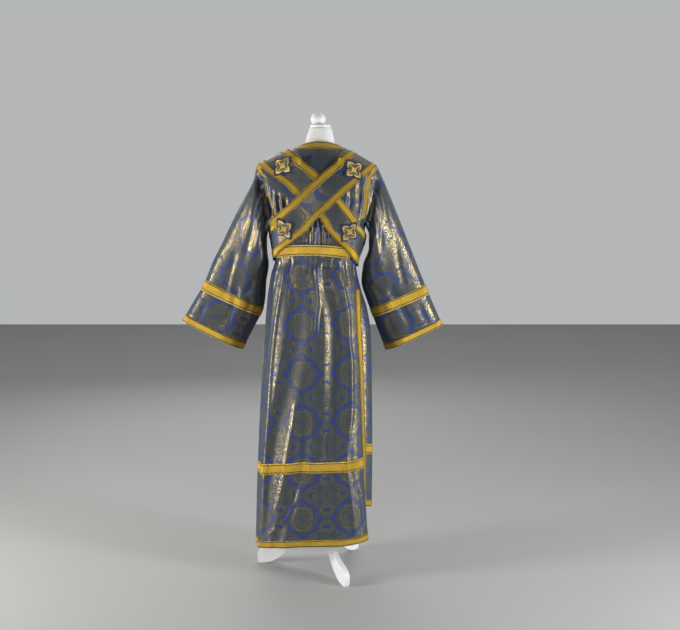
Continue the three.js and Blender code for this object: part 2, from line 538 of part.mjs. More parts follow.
/** Height of a stretch of the orarion over the body's outline, along its length. */
function liftOf(kind) {
  if (kind === 'girdle') return (share) => OVER_BODY + GIRDLE_LIFT * smooth(Math.min(share, 1 - share) * 5.5);
  const crossing = (share) => (kind === 'right' ? CROSSING_LIFT * bell((share - 0.44) / 0.42) : 0);
  return (share) => mix(OVER_SHOULDER, OVER_BODY, smooth(share / 0.05)) + crossing(share);
}

/** One wall of a strip, from "low" to "high" over its base height. */
function stripWall(strip, lift, low, high) {
  const shift = (extra) =>
    strip.points.map((row, i) => row.map((p, j) => {
      const normal = strip.normals[i][j].clone();
      return p.clone().addScaledVector(normal, lift(strip.share(i)) + extra);
    }));
  return wall(shift(high), shift(low));
}

const material = (color, roughness, metalness) => new THREE.MeshStandardMaterial({ color, roughness, metalness });
const BROCADE = material('#4d5a6b', 0.5, 0.35);
const GOLD = material('#c9a02c', 0.45, 0.45);
const EMBROIDERY = material('#1d2f7c', 0.6, 0.2);
const FORM_CLOTH = material('#ecebe8', 0.85, 0);
const WHITE_WOOD = material('#e6e7e8', 0.5, 0);

const robe = new THREE.Group();
const stand = new THREE.Group();

function add(group, name, geometry, finish) {
  const mesh = new THREE.Mesh(geometry, finish);
  mesh.name = name;
  group.add(mesh);
  return mesh;
}

/** A panel with its neck, armhole, slit, band and hem braids. */
function addPanel(side, isBack) {
  const panel = panelGrid(isBack);
  const last = panel.columns - 1;
  const bottom = panel.points.length - 1;
  const underarm = YOKE_ROWS.length - 1;
  add(robe, `${side}_panel`, wall(panel.points, moved(panel.points, panel.normals, -CLOTH)), BROCADE);
  const neckColumns = panel.points[0]
    .map((p, k) => [Math.abs(p.x - NECK.x) < NECK.half + 4, k]).filter(([inNeck]) => inNeck).map(([, k]) => k);
  add(robe, `neck_braid_${side}`, braidOn(panel, [0, 2], [neckColumns[0], neckColumns.at(-1)]), GOLD);
  const wearerFirst = isBack ? 'left' : 'right'; // the side where the columns start
  const wearerLast = isBack ? 'right' : 'left';
  add(robe, `armhole_braid_${side}_${wearerFirst}`, braidOn(panel, [0, underarm - 1], [0, 1]), GOLD);
  add(robe, `armhole_braid_${side}_${wearerLast}`, braidOn(panel, [0, underarm - 1], [last - 1, last]), GOLD);
  add(robe, `slit_braid_${side}_${wearerFirst}`, braidOn(panel, [SLIT_ROW, bottom], [0, 1]), GOLD);
  add(robe, `slit_braid_${side}_${wearerLast}`, braidOn(panel, [SLIT_ROW, bottom], [last - 1, last]), GOLD);
  const band = [panel.bandRow, panel.bandRow + 1];
  add(robe, `lower_band_${side}`, braidOn(panel, band, [1, last - 1], BUTT_GAP), GOLD);
  add(robe, `hem_braid_${side}`, braidOn(panel, [bottom - 1, bottom], [1, last - 1], BUTT_GAP), GOLD);
  return panel;
}

/** The armhole's outline, from the shoulder tip down the back and up the front. */
function armhole(back, front, isRight) {
  const rows = YOKE_ROWS.length;
  const backColumn = isRight ? back.columns - 1 : 0;
  const frontColumn = isRight ? 0 : front.columns - 1;
  const down = back.points.slice(1, rows).map((row) => row[backColumn]);
  const up = front.points.slice(1, rows).map((row) => row[frontColumn]).reverse();
  const tip = back.points[0][backColumn].clone().add(front.points[0][frontColumn]).multiplyScalar(0.5);
  return [tip, ...down, ...up];
}

/** A sleeve: rings from the armhole to the cuff, and the braids that go round it. */
function addSleeve(name, table, edge, isRight) {
  const at = Object.fromEntries(
    ['outerX', 'outerZ', 'innerX', 'innerZ', 'thick', 'y'].map((n) => [n, column(table, 's', n)]),
  );
  const backFull = column(SLEEVE_FULLNESS, 'across', 'back');
  const frontFull = column(SLEEVE_FULLNESS, 'across', 'front');
  const half = (edge.length - 1) / 2;
  const own = (s, k) => {
    const onBack = k <= half;
    const across = -1 + (2 * (onBack ? k : edge.length - k)) / half;
    const t = (across + 1) / 2;
    const full = onBack ? -backFull(across) : frontFull(across);
    return new THREE.Vector3(
      mix(at.outerX(s), at.innerX(s), t), at.y(s) + at.thick(s) * full, mix(at.outerZ(s), at.innerZ(s), t),
    );
  };
  const side = isRight ? 1 : -1;
  const rings = SLEEVE_ROWS.map((s) =>
    edge.map((point, k) => {
      const away = point.clone().sub(own(0, k)).multiplyScalar(1 - smooth(s / SLEEVE_BLEND));
      return own(s, k).add(away).add(new THREE.Vector3(side * SLEEVE_SEAM_GAP, 0, 0));
    }),
  );
  const normals = gridNormals(rings, true).map((row) => row.map((n) => n.multiplyScalar(isRight ? -1 : 1)));
  const facing = normals[6][Math.round(half / 2)].y < 0 ? 1 : -1;
  normals.flat().forEach((n) => n.multiplyScalar(facing));
  normals[0].forEach((n) => n.setX(0).normalize()); // so that the seam's faces stay apart
  add(robe, name, wall(rings, moved(rings, normals, -CLOTH), true), BROCADE);
  const ringBraid = (first, last) => {
    const base = rings.slice(first, last + 1);
    const lift = normals.slice(first, last + 1);
    return wall(moved(base, lift, SEAM_GAP + BRAID), moved(base, lift, SEAM_GAP), true);
  };
  const bandRow = SLEEVE_ROWS.indexOf(SLEEVE_BAND.top);
  const cuffRow = SLEEVE_ROWS.indexOf(SLEEVE_CUFF);
  add(robe, `${name}_band`, ringBraid(bandRow, bandRow + 1), GOLD);
  add(robe, `${name}_cuff_braid`, ringBraid(cuffRow, cuffRow + 1), GOLD);
}

/** One stretch of the orarion with a braid along each edge. Returns its whole grid. */
function addStretch(name, stations, steps, kind) {
  const lift = liftOf(kind);
  const edge = NARROW_BRAID / ORARION_WIDTH;
  const across = [0, edge, 0.5, 1 - edge, 1];
  const strip = stripGrid(stations, steps, across, CROWDING[kind] ?? CROWDING.diagonal);
  add(robe, name, stripWall(strip, lift, 0, ORARION_WALL), BROCADE);
  const braid = (first, last) => {
    const sliced = (grid) => grid.map((row) => row.slice(first, last + 1));
    const part = { ...strip, points: sliced(strip.points), normals: sliced(strip.normals) };
    return stripWall(part, lift, ORARION_WALL + SEAM_GAP, ORARION_WALL + SEAM_GAP + BRAID);
  };
  add(robe, `${name}_braid_inner`, braid(0, 1), GOLD);
  add(robe, `${name}_braid_outer`, braid(3, 4), GOLD);
  return { strip, lift, across };
}

/** A four-petalled cross sewn on a stretch: a plate that follows the cloth, its petals raised. */
function crossGeometry(stretch, along, over) {
  const { strip, lift, across } = stretch;
  const steps = strip.points.length - 1;
  const lengths = [0];
  for (let i = 1; i <= steps; i++) lengths.push(lengths[i - 1] + strip.points[i][2].distanceTo(strip.points[i - 1][2]));
  const total = lengths[steps];
  const onCloth = (alongMm, acrossMm, height) => {
    const want = along * total + alongMm;
    const i = clamp(lengths.findIndex((l) => l > want) - 1, 0, steps - 1);
    const u = (want - lengths[i]) / (lengths[i + 1] - lengths[i]);
    const t = 0.5 + acrossMm / ORARION_WIDTH;
    const j = clamp(across.findIndex((a) => a > t) - 1, 0, across.length - 2);
    const v = (t - across[j]) / (across[j + 1] - across[j]);
    const pick = (grid) => { // on one of the two faces that the strip has here
      const [a, b, c, d] = [grid[i][j], grid[i + 1][j], grid[i + 1][j + 1], grid[i][j + 1]];
      const weights = u > v ? [1 - u, u - v, v, 0] : [1 - v, 0, u, v - u];
      return [a, b, c, d].reduce((sum, corner, n) => sum.addScaledVector(corner, weights[n]), new THREE.Vector3());
    };
    const share = strip.share(i + u);
    const normal = pick(strip.normals).normalize();
    return pick(strip.points).addScaledVector(normal, lift(share) + ORARION_WALL + height);
  };
  const sides = 32;
  const rings = [0.55, 1];
  const radius = (angle) => {
    const petal = Math.abs(Math.cos(2 * angle));
    return mix(CROSS.waist, 1, petal ** 1.5);
  };
  const ringPoint = (k, ring, height) => {
    const angle = (2 * Math.PI * k) / sides;
    const r = radius(angle) * ring;
    return onCloth((r * Math.cos(angle) * CROSS.along) / 2, (r * Math.sin(angle) * CROSS.across) / 2, height);
  };
  const top = (k, n) => {
    const petal = Math.abs(Math.cos(2 * (2 * Math.PI * k) / sides));
    return over + CROSS.wall + (n === 0 ? CROSS.raise * petal : 0);
  };
  const points = [];
  for (const n of [0, 1]) for (let k = 0; k < sides; k++) points.push(ringPoint(k, rings[n], top(k, n)));
  for (const n of [1, 0]) for (let k = 0; k < sides; k++) points.push(ringPoint(k, rings[n], over));
  const upper = points.push(onCloth(0, 0, over + CROSS.wall + CROSS.raise)) - 1;
  const under = points.push(onCloth(0, 0, over)) - 1;
  const faces = [];
  for (let k = 0; k < sides; k++) {
    const next = (k + 1) % sides;
    faces.push([upper, k, next], [under, 3 * sides + next, 3 * sides + k]);
    for (let n = 0; n < 3; n++) {
      const a = n * sides;
      faces.push([a + k, a + sides + k, a + sides + next], [a + k, a + sides + next, a + next]);
    }
  }
  return closedGeometry(points.flatMap((p) => [p.x, p.y, p.z]), faces);
}

/** The waist ribbon: level across the middle, drooping to the sides. */
function ribbonGeometry() {
  const steps = 18;
  const points = [];
  const normals = [];
  for (let i = 0; i <= steps; i++) {
    const turn = mix(RIBBON.left, RIBBON.right, i / steps);
    const middle = RIBBON.middle - RIBBON.drop * (2 * (i / steps) - 1) ** 2;
    const heights = [middle + WIDE_BRAID / 2, middle, middle - WIDE_BRAID / 2];
    points.push(heights.map((z) => outline(turn, z)));
    normals.push(heights.map((z) => outward(turn, z)));
  }
  return wall(moved(points, normals, RIBBON.lift + BRAID), moved(points, normals, RIBBON.lift));
}

const back = addPanel('back', true);
const front = addPanel('front', false);
addSleeve('sleeve_left', SLEEVE_LEFT, armhole(back, front, false), false);
addSleeve('sleeve_right', SLEEVE_RIGHT, armhole(back, front, true), true);
add(robe, 'waist_ribbon', ribbonGeometry(), GOLD);

const stretches = {
  left: addStretch('orarion_back_left', ORARION_BACK_LEFT, STRIP_STEPS.diagonal, 'left'),
  right: addStretch('orarion_back_right', ORARION_BACK_RIGHT, STRIP_STEPS.diagonal, 'right'),
};
addStretch('orarion_girdle', ORARION_GIRDLE, STRIP_STEPS.girdle, 'girdle');
addStretch('orarion_front_right', ORARION_FRONT_RIGHT, STRIP_STEPS.front, 'front');
addStretch('orarion_front_left', ORARION_FRONT_LEFT, STRIP_STEPS.front, 'front');
for (const { name, stretch, along, lift } of CROSSES) {
  add(robe, name, crossGeometry(stretches[stretch], along, lift), EMBROIDERY);
}

/** One section of the form, from its left and right ends and its depths. */
function formRing({ left, right, back, front }) {
  return Array.from({ length: FORM_SIDES }, (_, k) => {
    const angle = (2 * Math.PI * k) / FORM_SIDES;
    const end = left.clone().lerp(right, 0.5 + 0.5 * Math.sin(angle));
    return end.setY(-(Math.cos(angle) > 0 ? back : front) * Math.cos(angle));
  });
}

/** The form's body: rings from its base to the top of its neck, closed by a fan at each end. */
function formGeometry() {
  const level = ({ z, left, right, back, front }) =>
    formRing({ left: new THREE.Vector3(left, 0, z), right: new THREE.Vector3(right, 0, z), back, front });
  const under = (point, slope) => point.setY(0).add(slope.multiplyScalar(CLOTH + FORM_CLEARANCE));
  const shoulder = ({ share, back, front }) => {
    const [left, right] = [SHOULDER.left, SHOULDER.right].map((tip) => {
      const start = NECK.x + Math.sign(tip.x) * NECK.half;
      const drop = (NECK.z - tip.z) * share ** SHOULDER_DROOP;
      const steep = (SHOULDER_DROOP * (NECK.z - tip.z) * share ** (SHOULDER_DROOP - 1)) / Math.abs(tip.x - start);
      const inwards = new THREE.Vector3(-Math.sign(tip.x) * steep, 0, -1).normalize();
      return under(new THREE.Vector3(mix(start, tip.x, share), 0, NECK.z - drop), inwards);
    });
    return formRing({ left, right, back, front });
  };
  const rings = [...FORM_BODY.map(level), ...FORM_SHOULDERS.map(shoulder), ...FORM_NECK.map(level)];
  const middle = (ring) => ring[0].clone().add(ring[FORM_SIDES / 2]).multiplyScalar(0.5).setY(0);
  const points = [...rings.flat(), middle(rings[0]), middle(rings.at(-1))];
  const [low, high] = [points.length - 2, points.length - 1];
  const faces = [];
  for (let k = 0; k < FORM_SIDES; k++) {
    const next = (k + 1) % FORM_SIDES;
    const last = (rings.length - 1) * FORM_SIDES;
    faces.push([low, next, k], [high, last + k, last + next]);
    for (let a = 0; a < last; a += FORM_SIDES) {
      faces.push([a + k, a + next, a + FORM_SIDES + next], [a + k, a + FORM_SIDES + next, a + FORM_SIDES + k]);
    }
  }
  return closedGeometry(points.flatMap((p) => [p.x, p.y, p.z]), faces);
}

/** A turned piece from pairs [radius, height], standing on its own axis. */
function turned(pairs, sides) {
  const geometry = new THREE.LatheGeometry(pairs.map(([r, z]) => new THREE.Vector2(r, z)), sides);
  return geometry.rotateX(Math.PI / 2);
}

/** One leg: a flat board cut to a curve, standing out from the hub. */
function legGeometry() {
  const shape = new THREE.Shape();
  shape.moveTo(LEG.inner, LEG.root);
  shape.bezierCurveTo(48, 180, 82, 122, 150, 80); // the hollow of the leg's upper edge
  shape.bezierCurveTo(186, 60, LEG.foot + 10, 62, LEG.foot + 6, 22); // its toe
  shape.quadraticCurveTo(LEG.foot + 4, 5, LEG.foot, 0);
  shape.lineTo(LEG.foot - LEG.footWidth, 0);
  shape.bezierCurveTo(150, 5, 112, 52, 80, 96);
  shape.bezierCurveTo(58, 126, 38, 160, LEG.inner, LEG.root - 76);
  const geometry = new THREE.ExtrudeGeometry(shape, { depth: LEG.thick, bevelEnabled: false, curveSegments: 7 });
  return geometry.translate(0, 0, -LEG.thick / 2).rotateX(Math.PI / 2);
}

add(stand, 'form_torso', formGeometry(), FORM_CLOTH);
const capPairs = [[0, NECK_CAP.bottom], [NECK_CAP.radius, NECK_CAP.bottom], [NECK_CAP.radius, NECK_CAP.top - 3],
  [NECK_CAP.radius - 4, NECK_CAP.top], [0, NECK_CAP.top]];
add(stand, 'neck_cap', turned(capPairs, 24), WHITE_WOOD).position.x = NECK_CAP.x;
const knobPairs = [[0, KNOB.bottom], [KNOB.stem, KNOB.bottom]];
for (let k = 0; k <= 8; k++) {
  const angle = mix(-0.28, 0.5, k / 8) * Math.PI;
  const middle = KNOB.top - KNOB.radius * 0.86;
  knobPairs.push([Math.max(KNOB.radius * Math.cos(angle), 0), middle + KNOB.radius * 0.86 * Math.sin(angle)]);
}
knobPairs[knobPairs.length - 1][0] = 0;
add(stand, 'neck_knob', turned(knobPairs, 22), WHITE_WOOD).position.x = KNOB.x;
const rod = ({ radius, bottom, top, sides }) => turned([[0, bottom], [radius, bottom], [radius, top], [0, top]], sides);
add(stand, 'pole', rod(POLE), WHITE_WOOD);
add(stand, 'leg_hub', rod(HUB), WHITE_WOOD);
for (const [n, turn] of LEG.turns.entries()) {
  add(stand, `leg_${['left', 'far', 'near'][n]}`, legGeometry(), WHITE_WOOD).rotation.z = radians(turn);
}

const vestment = new THREE.Group();
vestment.add(robe, stand);

// The origin is on the floor, under the middle of the whole
const reach = new THREE.Box3().setFromObject(vestment);
vestment.position.set(-(reach.min.x + reach.max.x) / 2, -(reach.min.y + reach.max.y) / 2, 0);

export default vestment;
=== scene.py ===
"""A sub-deacon's sticharion with its crossed orarion, on a white dress form, dressed over its CAD model.

Shapes are worked out in millimetres round the stand's pole: +X is the wearer's right, +Y is the way
the wearer faces, and the robe's back looks towards -Y. "turn" is degrees round the body from the
back's middle. Each piece moves to the row's frame, in metres, as its mesh is made.
"""
import math
from collections import namedtuple

import bpy
import numpy as np
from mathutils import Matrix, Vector


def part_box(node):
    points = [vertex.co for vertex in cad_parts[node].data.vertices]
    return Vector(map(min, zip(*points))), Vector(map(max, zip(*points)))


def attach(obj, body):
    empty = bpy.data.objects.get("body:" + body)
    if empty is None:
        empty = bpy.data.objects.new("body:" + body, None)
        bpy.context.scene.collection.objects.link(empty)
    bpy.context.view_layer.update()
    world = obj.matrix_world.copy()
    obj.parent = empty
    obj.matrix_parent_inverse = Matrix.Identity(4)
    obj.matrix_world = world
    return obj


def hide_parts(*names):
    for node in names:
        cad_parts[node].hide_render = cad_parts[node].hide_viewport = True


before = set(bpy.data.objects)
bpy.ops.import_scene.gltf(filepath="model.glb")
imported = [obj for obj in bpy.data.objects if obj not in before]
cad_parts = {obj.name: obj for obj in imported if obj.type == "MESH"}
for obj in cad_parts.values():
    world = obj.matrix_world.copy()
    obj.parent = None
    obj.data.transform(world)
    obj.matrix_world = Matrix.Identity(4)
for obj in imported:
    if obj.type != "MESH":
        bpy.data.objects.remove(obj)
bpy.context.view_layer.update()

bl_info = {
    "name": "Sub-deacon's sticharion",
    "version": (1, 0, 0),
    "blender": (4, 5, 0),
    "location": "3D View > Sidebar > Vestment",
    "description": "Dresses a brocade church robe, its orarion, braids and crosses, on a dress form",
    "category": "Object",
}


def rows_of(kind, rows):
    """A table's rows, with their columns named."""
    return [kind(*row) for row in rows]


MM = 0.001
pole_low, pole_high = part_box("pole")
POLE_AXIS = np.array([(pole_low.x + pole_high.x) / 2 / MM, (pole_low.y + pole_high.y) / 2 / MM, 0.0])

# Driving sizes, in millimetres, as the part's source has them
CLOTH = 1.8
ORARION_WALL = 1.8
BRAID = 1.0
SEAM_GAP = 0.5
WIDE_BRAID = 37
NARROW_BRAID = 24
NECK_BRAID_REACH = 16
BACK_HEM = 125
BACK_LEFT_DROP = 26
BACK_RIGHT_RISE = 9
FRONT_HEM = 216
FRONT_HEM_RISE = 14
FRONT_SLIT_RISE = 32
SHIFT_TOP, SHIFT_SPAN = 1000, 700
UNDERARM = 1225
SLIT_TOP = 1010
BAND_TOP = 422
FRONT_BAND_RISE = 22
SEAM_Y = 0.6
UNDERLAP_INSET = 10
UNDERLAP_FADE = 22
YOKE_TOP = 1430
ARMHOLE_BRAID_END = 0.9

# How far the panels' side edges turn inwards, and over what width of cloth
Tuck = namedtuple("Tuck", "depth width")
ARMHOLE_TUCK = {
    ("back", "left"): Tuck(38, 28),
    ("back", "right"): Tuck(26, 40),
    ("front", "left"): Tuck(22, 46),
    ("front", "right"): Tuck(22, 46),
}
TUCK_START, TUCK_END = 0.15, 0.22
SIDES_OF = {"back": ("left", "right"), "front": ("right", "left")}  # in the order of their turns
HEM_OF = {"back": BACK_HEM, "front": FRONT_HEM}

# Each panel's flat cut, in metres and square metres, and the rows and columns of its skirt's grid
PanelCut = namedtuple("PanelCut", "width length area rows columns")
PANEL_CUT = {
    "back": PanelCut(0.66, 1.42, 0.68, 178, 150),
    "front": PanelCut(0.8, 1.34, 0.77, 164, 132),
}
YOKE_STEPS = 60
SLIT_TUCK_WIDTH = 34
SlitTuck = namedtuple("SlitTuck", "z depth")
SLIT_TUCK = rows_of(SlitTuck, [
    (1010, 0),
    (872, 0),
    (700, 6),
    (422, 9),
    (340, 13),
    (110, 13),
])

Neck = namedtuple("Neck", "x half z back_rise front_drop back front")
NECK = Neck(x=8, half=75, z=1495, back_rise=16, front_drop=45, back=52, front=60)
Tip = namedtuple("Tip", "x z")
SHOULDER_LEFT = Tip(-210, 1433)
SHOULDER_RIGHT = Tip(206, 1427)
SHOULDER_DROOP = 1.2
SPREAD_CENTRE, SPREAD_HALF = -2, 294

# The closed outline round the body at each height, before its folds
Section = namedtuple("Section", "z centre half back front corner")
BODY = rows_of(Section, [
    (1520, -2, 294, 104, 88, 2.0),
    (1430, -2, 294, 106, 96, 2.0),
    (1388, -1, 271, 114, 106, 2.0),
    (1347, 0, 252, 122, 116, 2.0),
    (1290, 1, 238, 128, 122, 2.0),
    (1250, 0, 212, 130, 122, 2.15),
    (1225, 0, 165, 129, 120, 2.6),
    (1185, 0, 161, 121, 114, 2.6),
    (1146, -2, 153, 110, 108, 2.6),
    (1100, -8, 142, 111, 107, 2.5),
    (1062, -12, 150, 119, 112, 2.5),
    (1000, -10, 163, 128, 120, 2.6),
    (940, -4, 176, 133, 126, 2.6),
    (863, -1, 186, 138, 131, 2.6),
    (721, -4, 194, 143, 136, 2.7),
    (463, -9, 203, 150, 142, 2.9),
    (250, -14, 207, 154, 146, 3.2),
    (110, -17, 208, 157, 148, 3.4),
])

# Where the panels' side edges run, in degrees round from the back's middle
Edge = namedtuple("Edge", "z back_left back_right front_right front_left")
EDGES = rows_of(Edge, [
    (1520, 45, 45, 135, 135),
    (1430, 45, 45, 135, 135),
    (1390, 46, 47, 135, 135),
    (1290, 47, 50, 135, 135),
    (1250, 52, 54, 130, 130),
    (1236, 64, 64, 116, 116),
    (1225, 86, 86, 94, 94),
    (1165, 94, 88, 80, 86),
    (1100, 97, 82, 70, 86),
    (1062, 97, 74, 64, 86),
    (1001, 97, 64, 56, 86),
    (940, 97, 55, 49, 86),
    (863, 97, 51.5, 46, 86),
    (721, 97, 54, 43, 86),
    (541, 97, 55.5, 43, 86),
    (392, 97, 58, 45, 86),
    (250, 97, 64, 52, 86),
    (110, 97, 71, 60, 86),
])

# The large folds below the waist, each a trough, with its turn and depth at each height
Fold = namedtuple(
    "Fold", "start turn thigh_turn knee_turn hem_turn thigh knee hem reach ease", defaults=[1.0])
THIGH, KNEE, HEM = 850, 450, 110
FOLDS = rows_of(Fold, [
    (1130, -20, -23.5, -39.5, -44, 15, 12, 8, 11, 1.7),
    (1130, 17, 18, 17, 14, 13, 6, 3, 12),
    (1050, 50, 48, 50, 68, 7, 8, 13, 14),
    (760, -8, -8, -12, -37, 0, 10, 10, 10),
    (1130, -62, -66, -67, -68, 9, 9, 10, 13),
    (1130, -92, -94, -95, -96, 5, 7, 9, 12),
    (1130, -128, -125, -122, -120, 11, 12, 12, 12),
    (1130, -152, -155, -157, -158, 13, 14, 12, 12),
    (1130, 178, 176, 178, 180, 7, 9, 8, 9),
    (1130, 154, 157, 160, 163, 12, 13, 10, 12),
    (1130, 130, 127, 125, 124, 11, 14, 13, 12),
    (1100, 94, 90, 88, 92, 6, 7, 9, 12),
])

Gathers = namedtuple("Gathers", "back front depth strongest above below")
GATHERS = Gathers(back=8, front=5, depth=6.5, strongest=1150, above=150, below=62)

# Creases: each a soft trough (or a ridge, where its depth is negative) from one
# place to another, as turn and height, with its half width and its depth
Crease = namedtuple("Crease", "turn z to_turn to_z width depth")
PACE = 2.9  # millimetres of cloth to a degree, near enough for a crease
BACK_CREASES = rows_of(Crease, [
    # drawn up beside the left armhole
    (-37, 1352, -41, 1232, 7, 5.5),
    (-32, 1345, -33, 1222, 6, 5),
    (-26, 1330, -27, 1225, 6, 4.5),
    (-34.5, 1338, -37, 1262, 4, -3),
    (-29, 1340, -30, 1240, 4, -3.5),
    (-21, 1322, -22, 1250, 5, 3),
    # below the crossing, down to the waist ribbon
    (-9, 1240, -10, 1150, 6, 4),
    (-3, 1262, -4, 1140, 6, 5.5),
    (4, 1268, 4, 1145, 6, 6),
    (12, 1248, 11, 1150, 7, 4.5),
    (0.5, 1262, 0, 1165, 3.5, -3),
    (8, 1262, 8, 1160, 4, -2.5),
    (-14, 1215, -15, 1145, 6, 3.5),
    (18, 1225, 17, 1150, 6, 4),
    # beside the right armhole
    (19, 1330, 17, 1262, 6, 4.5),
    (23, 1338, 23, 1255, 5, -3),
    (27, 1348, 27, 1250, 7, 5),
    (33, 1375, 36, 1290, 7, 4),
    (37, 1350, 39, 1262, 5, -2.5),
    # across the shoulder blades, under the bands
    (-6, 1455, -14, 1400, 10, 2),
    (8, 1450, 12, 1392, 10, 2),
    # under the ribbon, where the gathers let go
    (-33, 1128, -31, 1030, 9, 2.5),
    (-12, 1128, -10, 1065, 9, 1.6),
    (-3, 1128, -1, 1040, 6, 2.4),
    (11, 1128, 13, 1000, 8, 3),
    (24, 1128, 26, 1045, 9, 2),
    (40, 1120, 43, 1020, 8, 4),
    (-52, 1120, -55, 985, 9, 4),
    (-72, 1120, -76, 960, 9, 5),
    (64, 1110, 60, 1040, 8, 4),
    # the left side, seen from there
    (-80, 900, -83, 520, 12, 4),
    (-58, 800, -57, 430, 10, 3),
    (-88, 500, -86, 200, 11, 4),
    # shallow bends low on the skirt
    (-2, 700, 4, 470, 12, 2.5),
    (9, 560, 12, 320, 12, 2),
    (24, 470, 27, 200, 12, 2.5),
    (-16, 330, -22, 160, 9, 2.5),
    (2, 330, -2, 140, 12, 2),
    (40, 340, 46, 150, 8, 3),
])
FRONT_CREASES = rows_of(Crease, [
    (205, 1420, 200, 1310, 9, 3),
    (217, 1340, 222, 1250, 7, 4),
    (224, 1330, 226, 1262, 6, 3.5),
    (143, 1345, 138, 1255, 7, 4),
    (135.5, 1320, 134, 1262, 5, 3),
    (170, 1255, 171, 1190, 7, 4),
    (183, 1265, 182, 1188, 8, 5),
    (191, 1250, 192, 1190, 6, 3),
    (121, 1075, 118, 930, 9, 5),
    (142, 1075, 144, 900, 9, 5),
    (166, 1078, 165, 950, 8, 4),
    (190, 1078, 192, 880, 9, 5),
    (214, 1080, 212, 940, 9, 4),
    (236, 1085, 240, 860, 10, 5),
    (256, 1090, 258, 900, 9, 5),
    (104, 900, 106, 560, 10, 4),
    (148, 760, 146, 420, 12, 4),
    (188, 700, 190, 380, 12, 3.5),
    (220, 640, 216, 300, 13, 4),
    (250, 620, 252, 280, 12, 4),
    (78, 700, 76, 330, 9, 3),
    (170, 460, 169, 250, 10, 3),
])

# Crests of the skirt, where the gold thread shines: turn at each height
Crest = namedtuple("Crest", "line width height")
CRESTS = [
    Crest([(1120, -40), (1010, -40.5), (912, -45), (793, -47.5), (593, -48.4), (326, -49.5),
           (190, -49)], 8, 3.6),
    Crest([(1120, 2.4), (1064, 4), (990, 5.4), (919, 1), (851, -1.2)], 6.5, 5),
    Crest([(1114, 31), (1027, 35.5), (929, 34.4), (851, 32.7), (755, 35), (638, 34.8), (505, 31.7),
           (438, 29.7), (281, 34.4), (166, 38.4)], 6.5, 5),
    Crest([(650, -19), (560, -21.5), (481, -25), (348, -29.4), (250, -35)], 6, 3),
    Crest([(360, -11), (281, -17.4), (208, -27.8), (162, -41)], 5.5, 2.8),
]

# The orarion's stretches: the strip's two edges at each station, "near" being the neck's side
Station = namedtuple("Station", "near near_z far far_z")
ORARION_BACK_LEFT = rows_of(Station, [
    (-19.9, 1486, -43.5, 1439),
    (-13.5, 1462, -36, 1408),
    (-5, 1427, -25, 1366),
    (3.5, 1390, -15.5, 1324),
    (12.5, 1346, -5.5, 1286),
    (22, 1302, 3.5, 1247),
    (35, 1258, 15.5, 1202),
    (57, 1219, 34, 1150),
    (75, 1196, 60, 1105),
    (90, 1186, 88, 1086),
])
ORARION_BACK_RIGHT = rows_of(Station, [
    (22.2, 1479, 43.2, 1428),
    (15.5, 1451, 36.5, 1398),
    (7, 1413, 27.5, 1358),
    (-2.5, 1374, 17, 1316),
    (-12.5, 1335, 7, 1276),
    (-22.5, 1300, -3.5, 1238),
    (-36, 1265, -17, 1200),
    (-55, 1237, -38, 1157),
    (-74, 1216, -62, 1121),
    (-90, 1206, -88, 1106),
])
ORARION_GIRDLE = rows_of(Station, [
    (90.3, 1186, 88.3, 1086),
    (112, 1180, 111, 1080),
    (135, 1178, 135, 1078),
    (160, 1180, 160, 1080),
    (185, 1184, 185, 1084),
    (210, 1189, 210, 1089),
    (235, 1195, 235, 1095),
    (252, 1201, 252, 1101),
    (269.7, 1206, 271.7, 1106),
])
TAIL_END = 800
ORARION_FRONT_RIGHT = rows_of(Station, [
    (157.8, 1479, 136.8, 1428),
    (160, 1440, 140, 1395),
    (164, 1385, 143, 1360),
    (169, 1310, 145, 1300),
    (172.5, 1245, 143, 1240),
    (174.5, 1190, 136, 1188),
    (175, 1130, 133, 1130),
    (175.5, 1070, 134, 1070),
    (175.5, 990, 138, 990),
    (175.5, 900, 140, 900),
    (175.5, TAIL_END, 141.5, TAIL_END),
])
ORARION_FRONT_LEFT = [Station(204.3, 1486, 223.2, 1436)] + [
    Station(360 - row.near, row.near_z, 360 - row.far, row.far_z) for row in ORARION_FRONT_RIGHT[1:]
]
ORARION_WIDTH = 100
OVER_BODY = 4.3
OVER_SHOULDER = 2.2
CROSSING_LIFT = 5.2
GIRDLE_LIFT = 6.6

Ribbon = namedtuple("Ribbon", "left right middle drop lift")
RIBBON = Ribbon(left=-68, right=47, middle=1146, drop=15, lift=1.2)

Cross = namedtuple("Cross", "name stretch along across lift")
CROSSES = [
    Cross("cross_upper_left", "orarion_back_left", 0.21, 0.5, 2.4),
    Cross("cross_lower_right", "orarion_back_left", 0.75, 0.44, 2.4),
    Cross("cross_upper_right", "orarion_back_right", 0.18, 0.57, 2.9),
    Cross("cross_lower_left", "orarion_back_right", 0.735, 0.44, 2.4),
]
CROSS_ACROSS = 86
CROSS_ALONG = 80
CROSS_WAIST = 0.54
CROSS_WALL = 1.6
CROSS_RINGS = np.array([
    1.0, 0.99, 0.965, 0.93, 0.89, 0.86, 0.82, 0.76, 0.68, 0.6, 0.5, 0.4, 0.3, 0.22, 0.15, 0.08, 0.02,
])

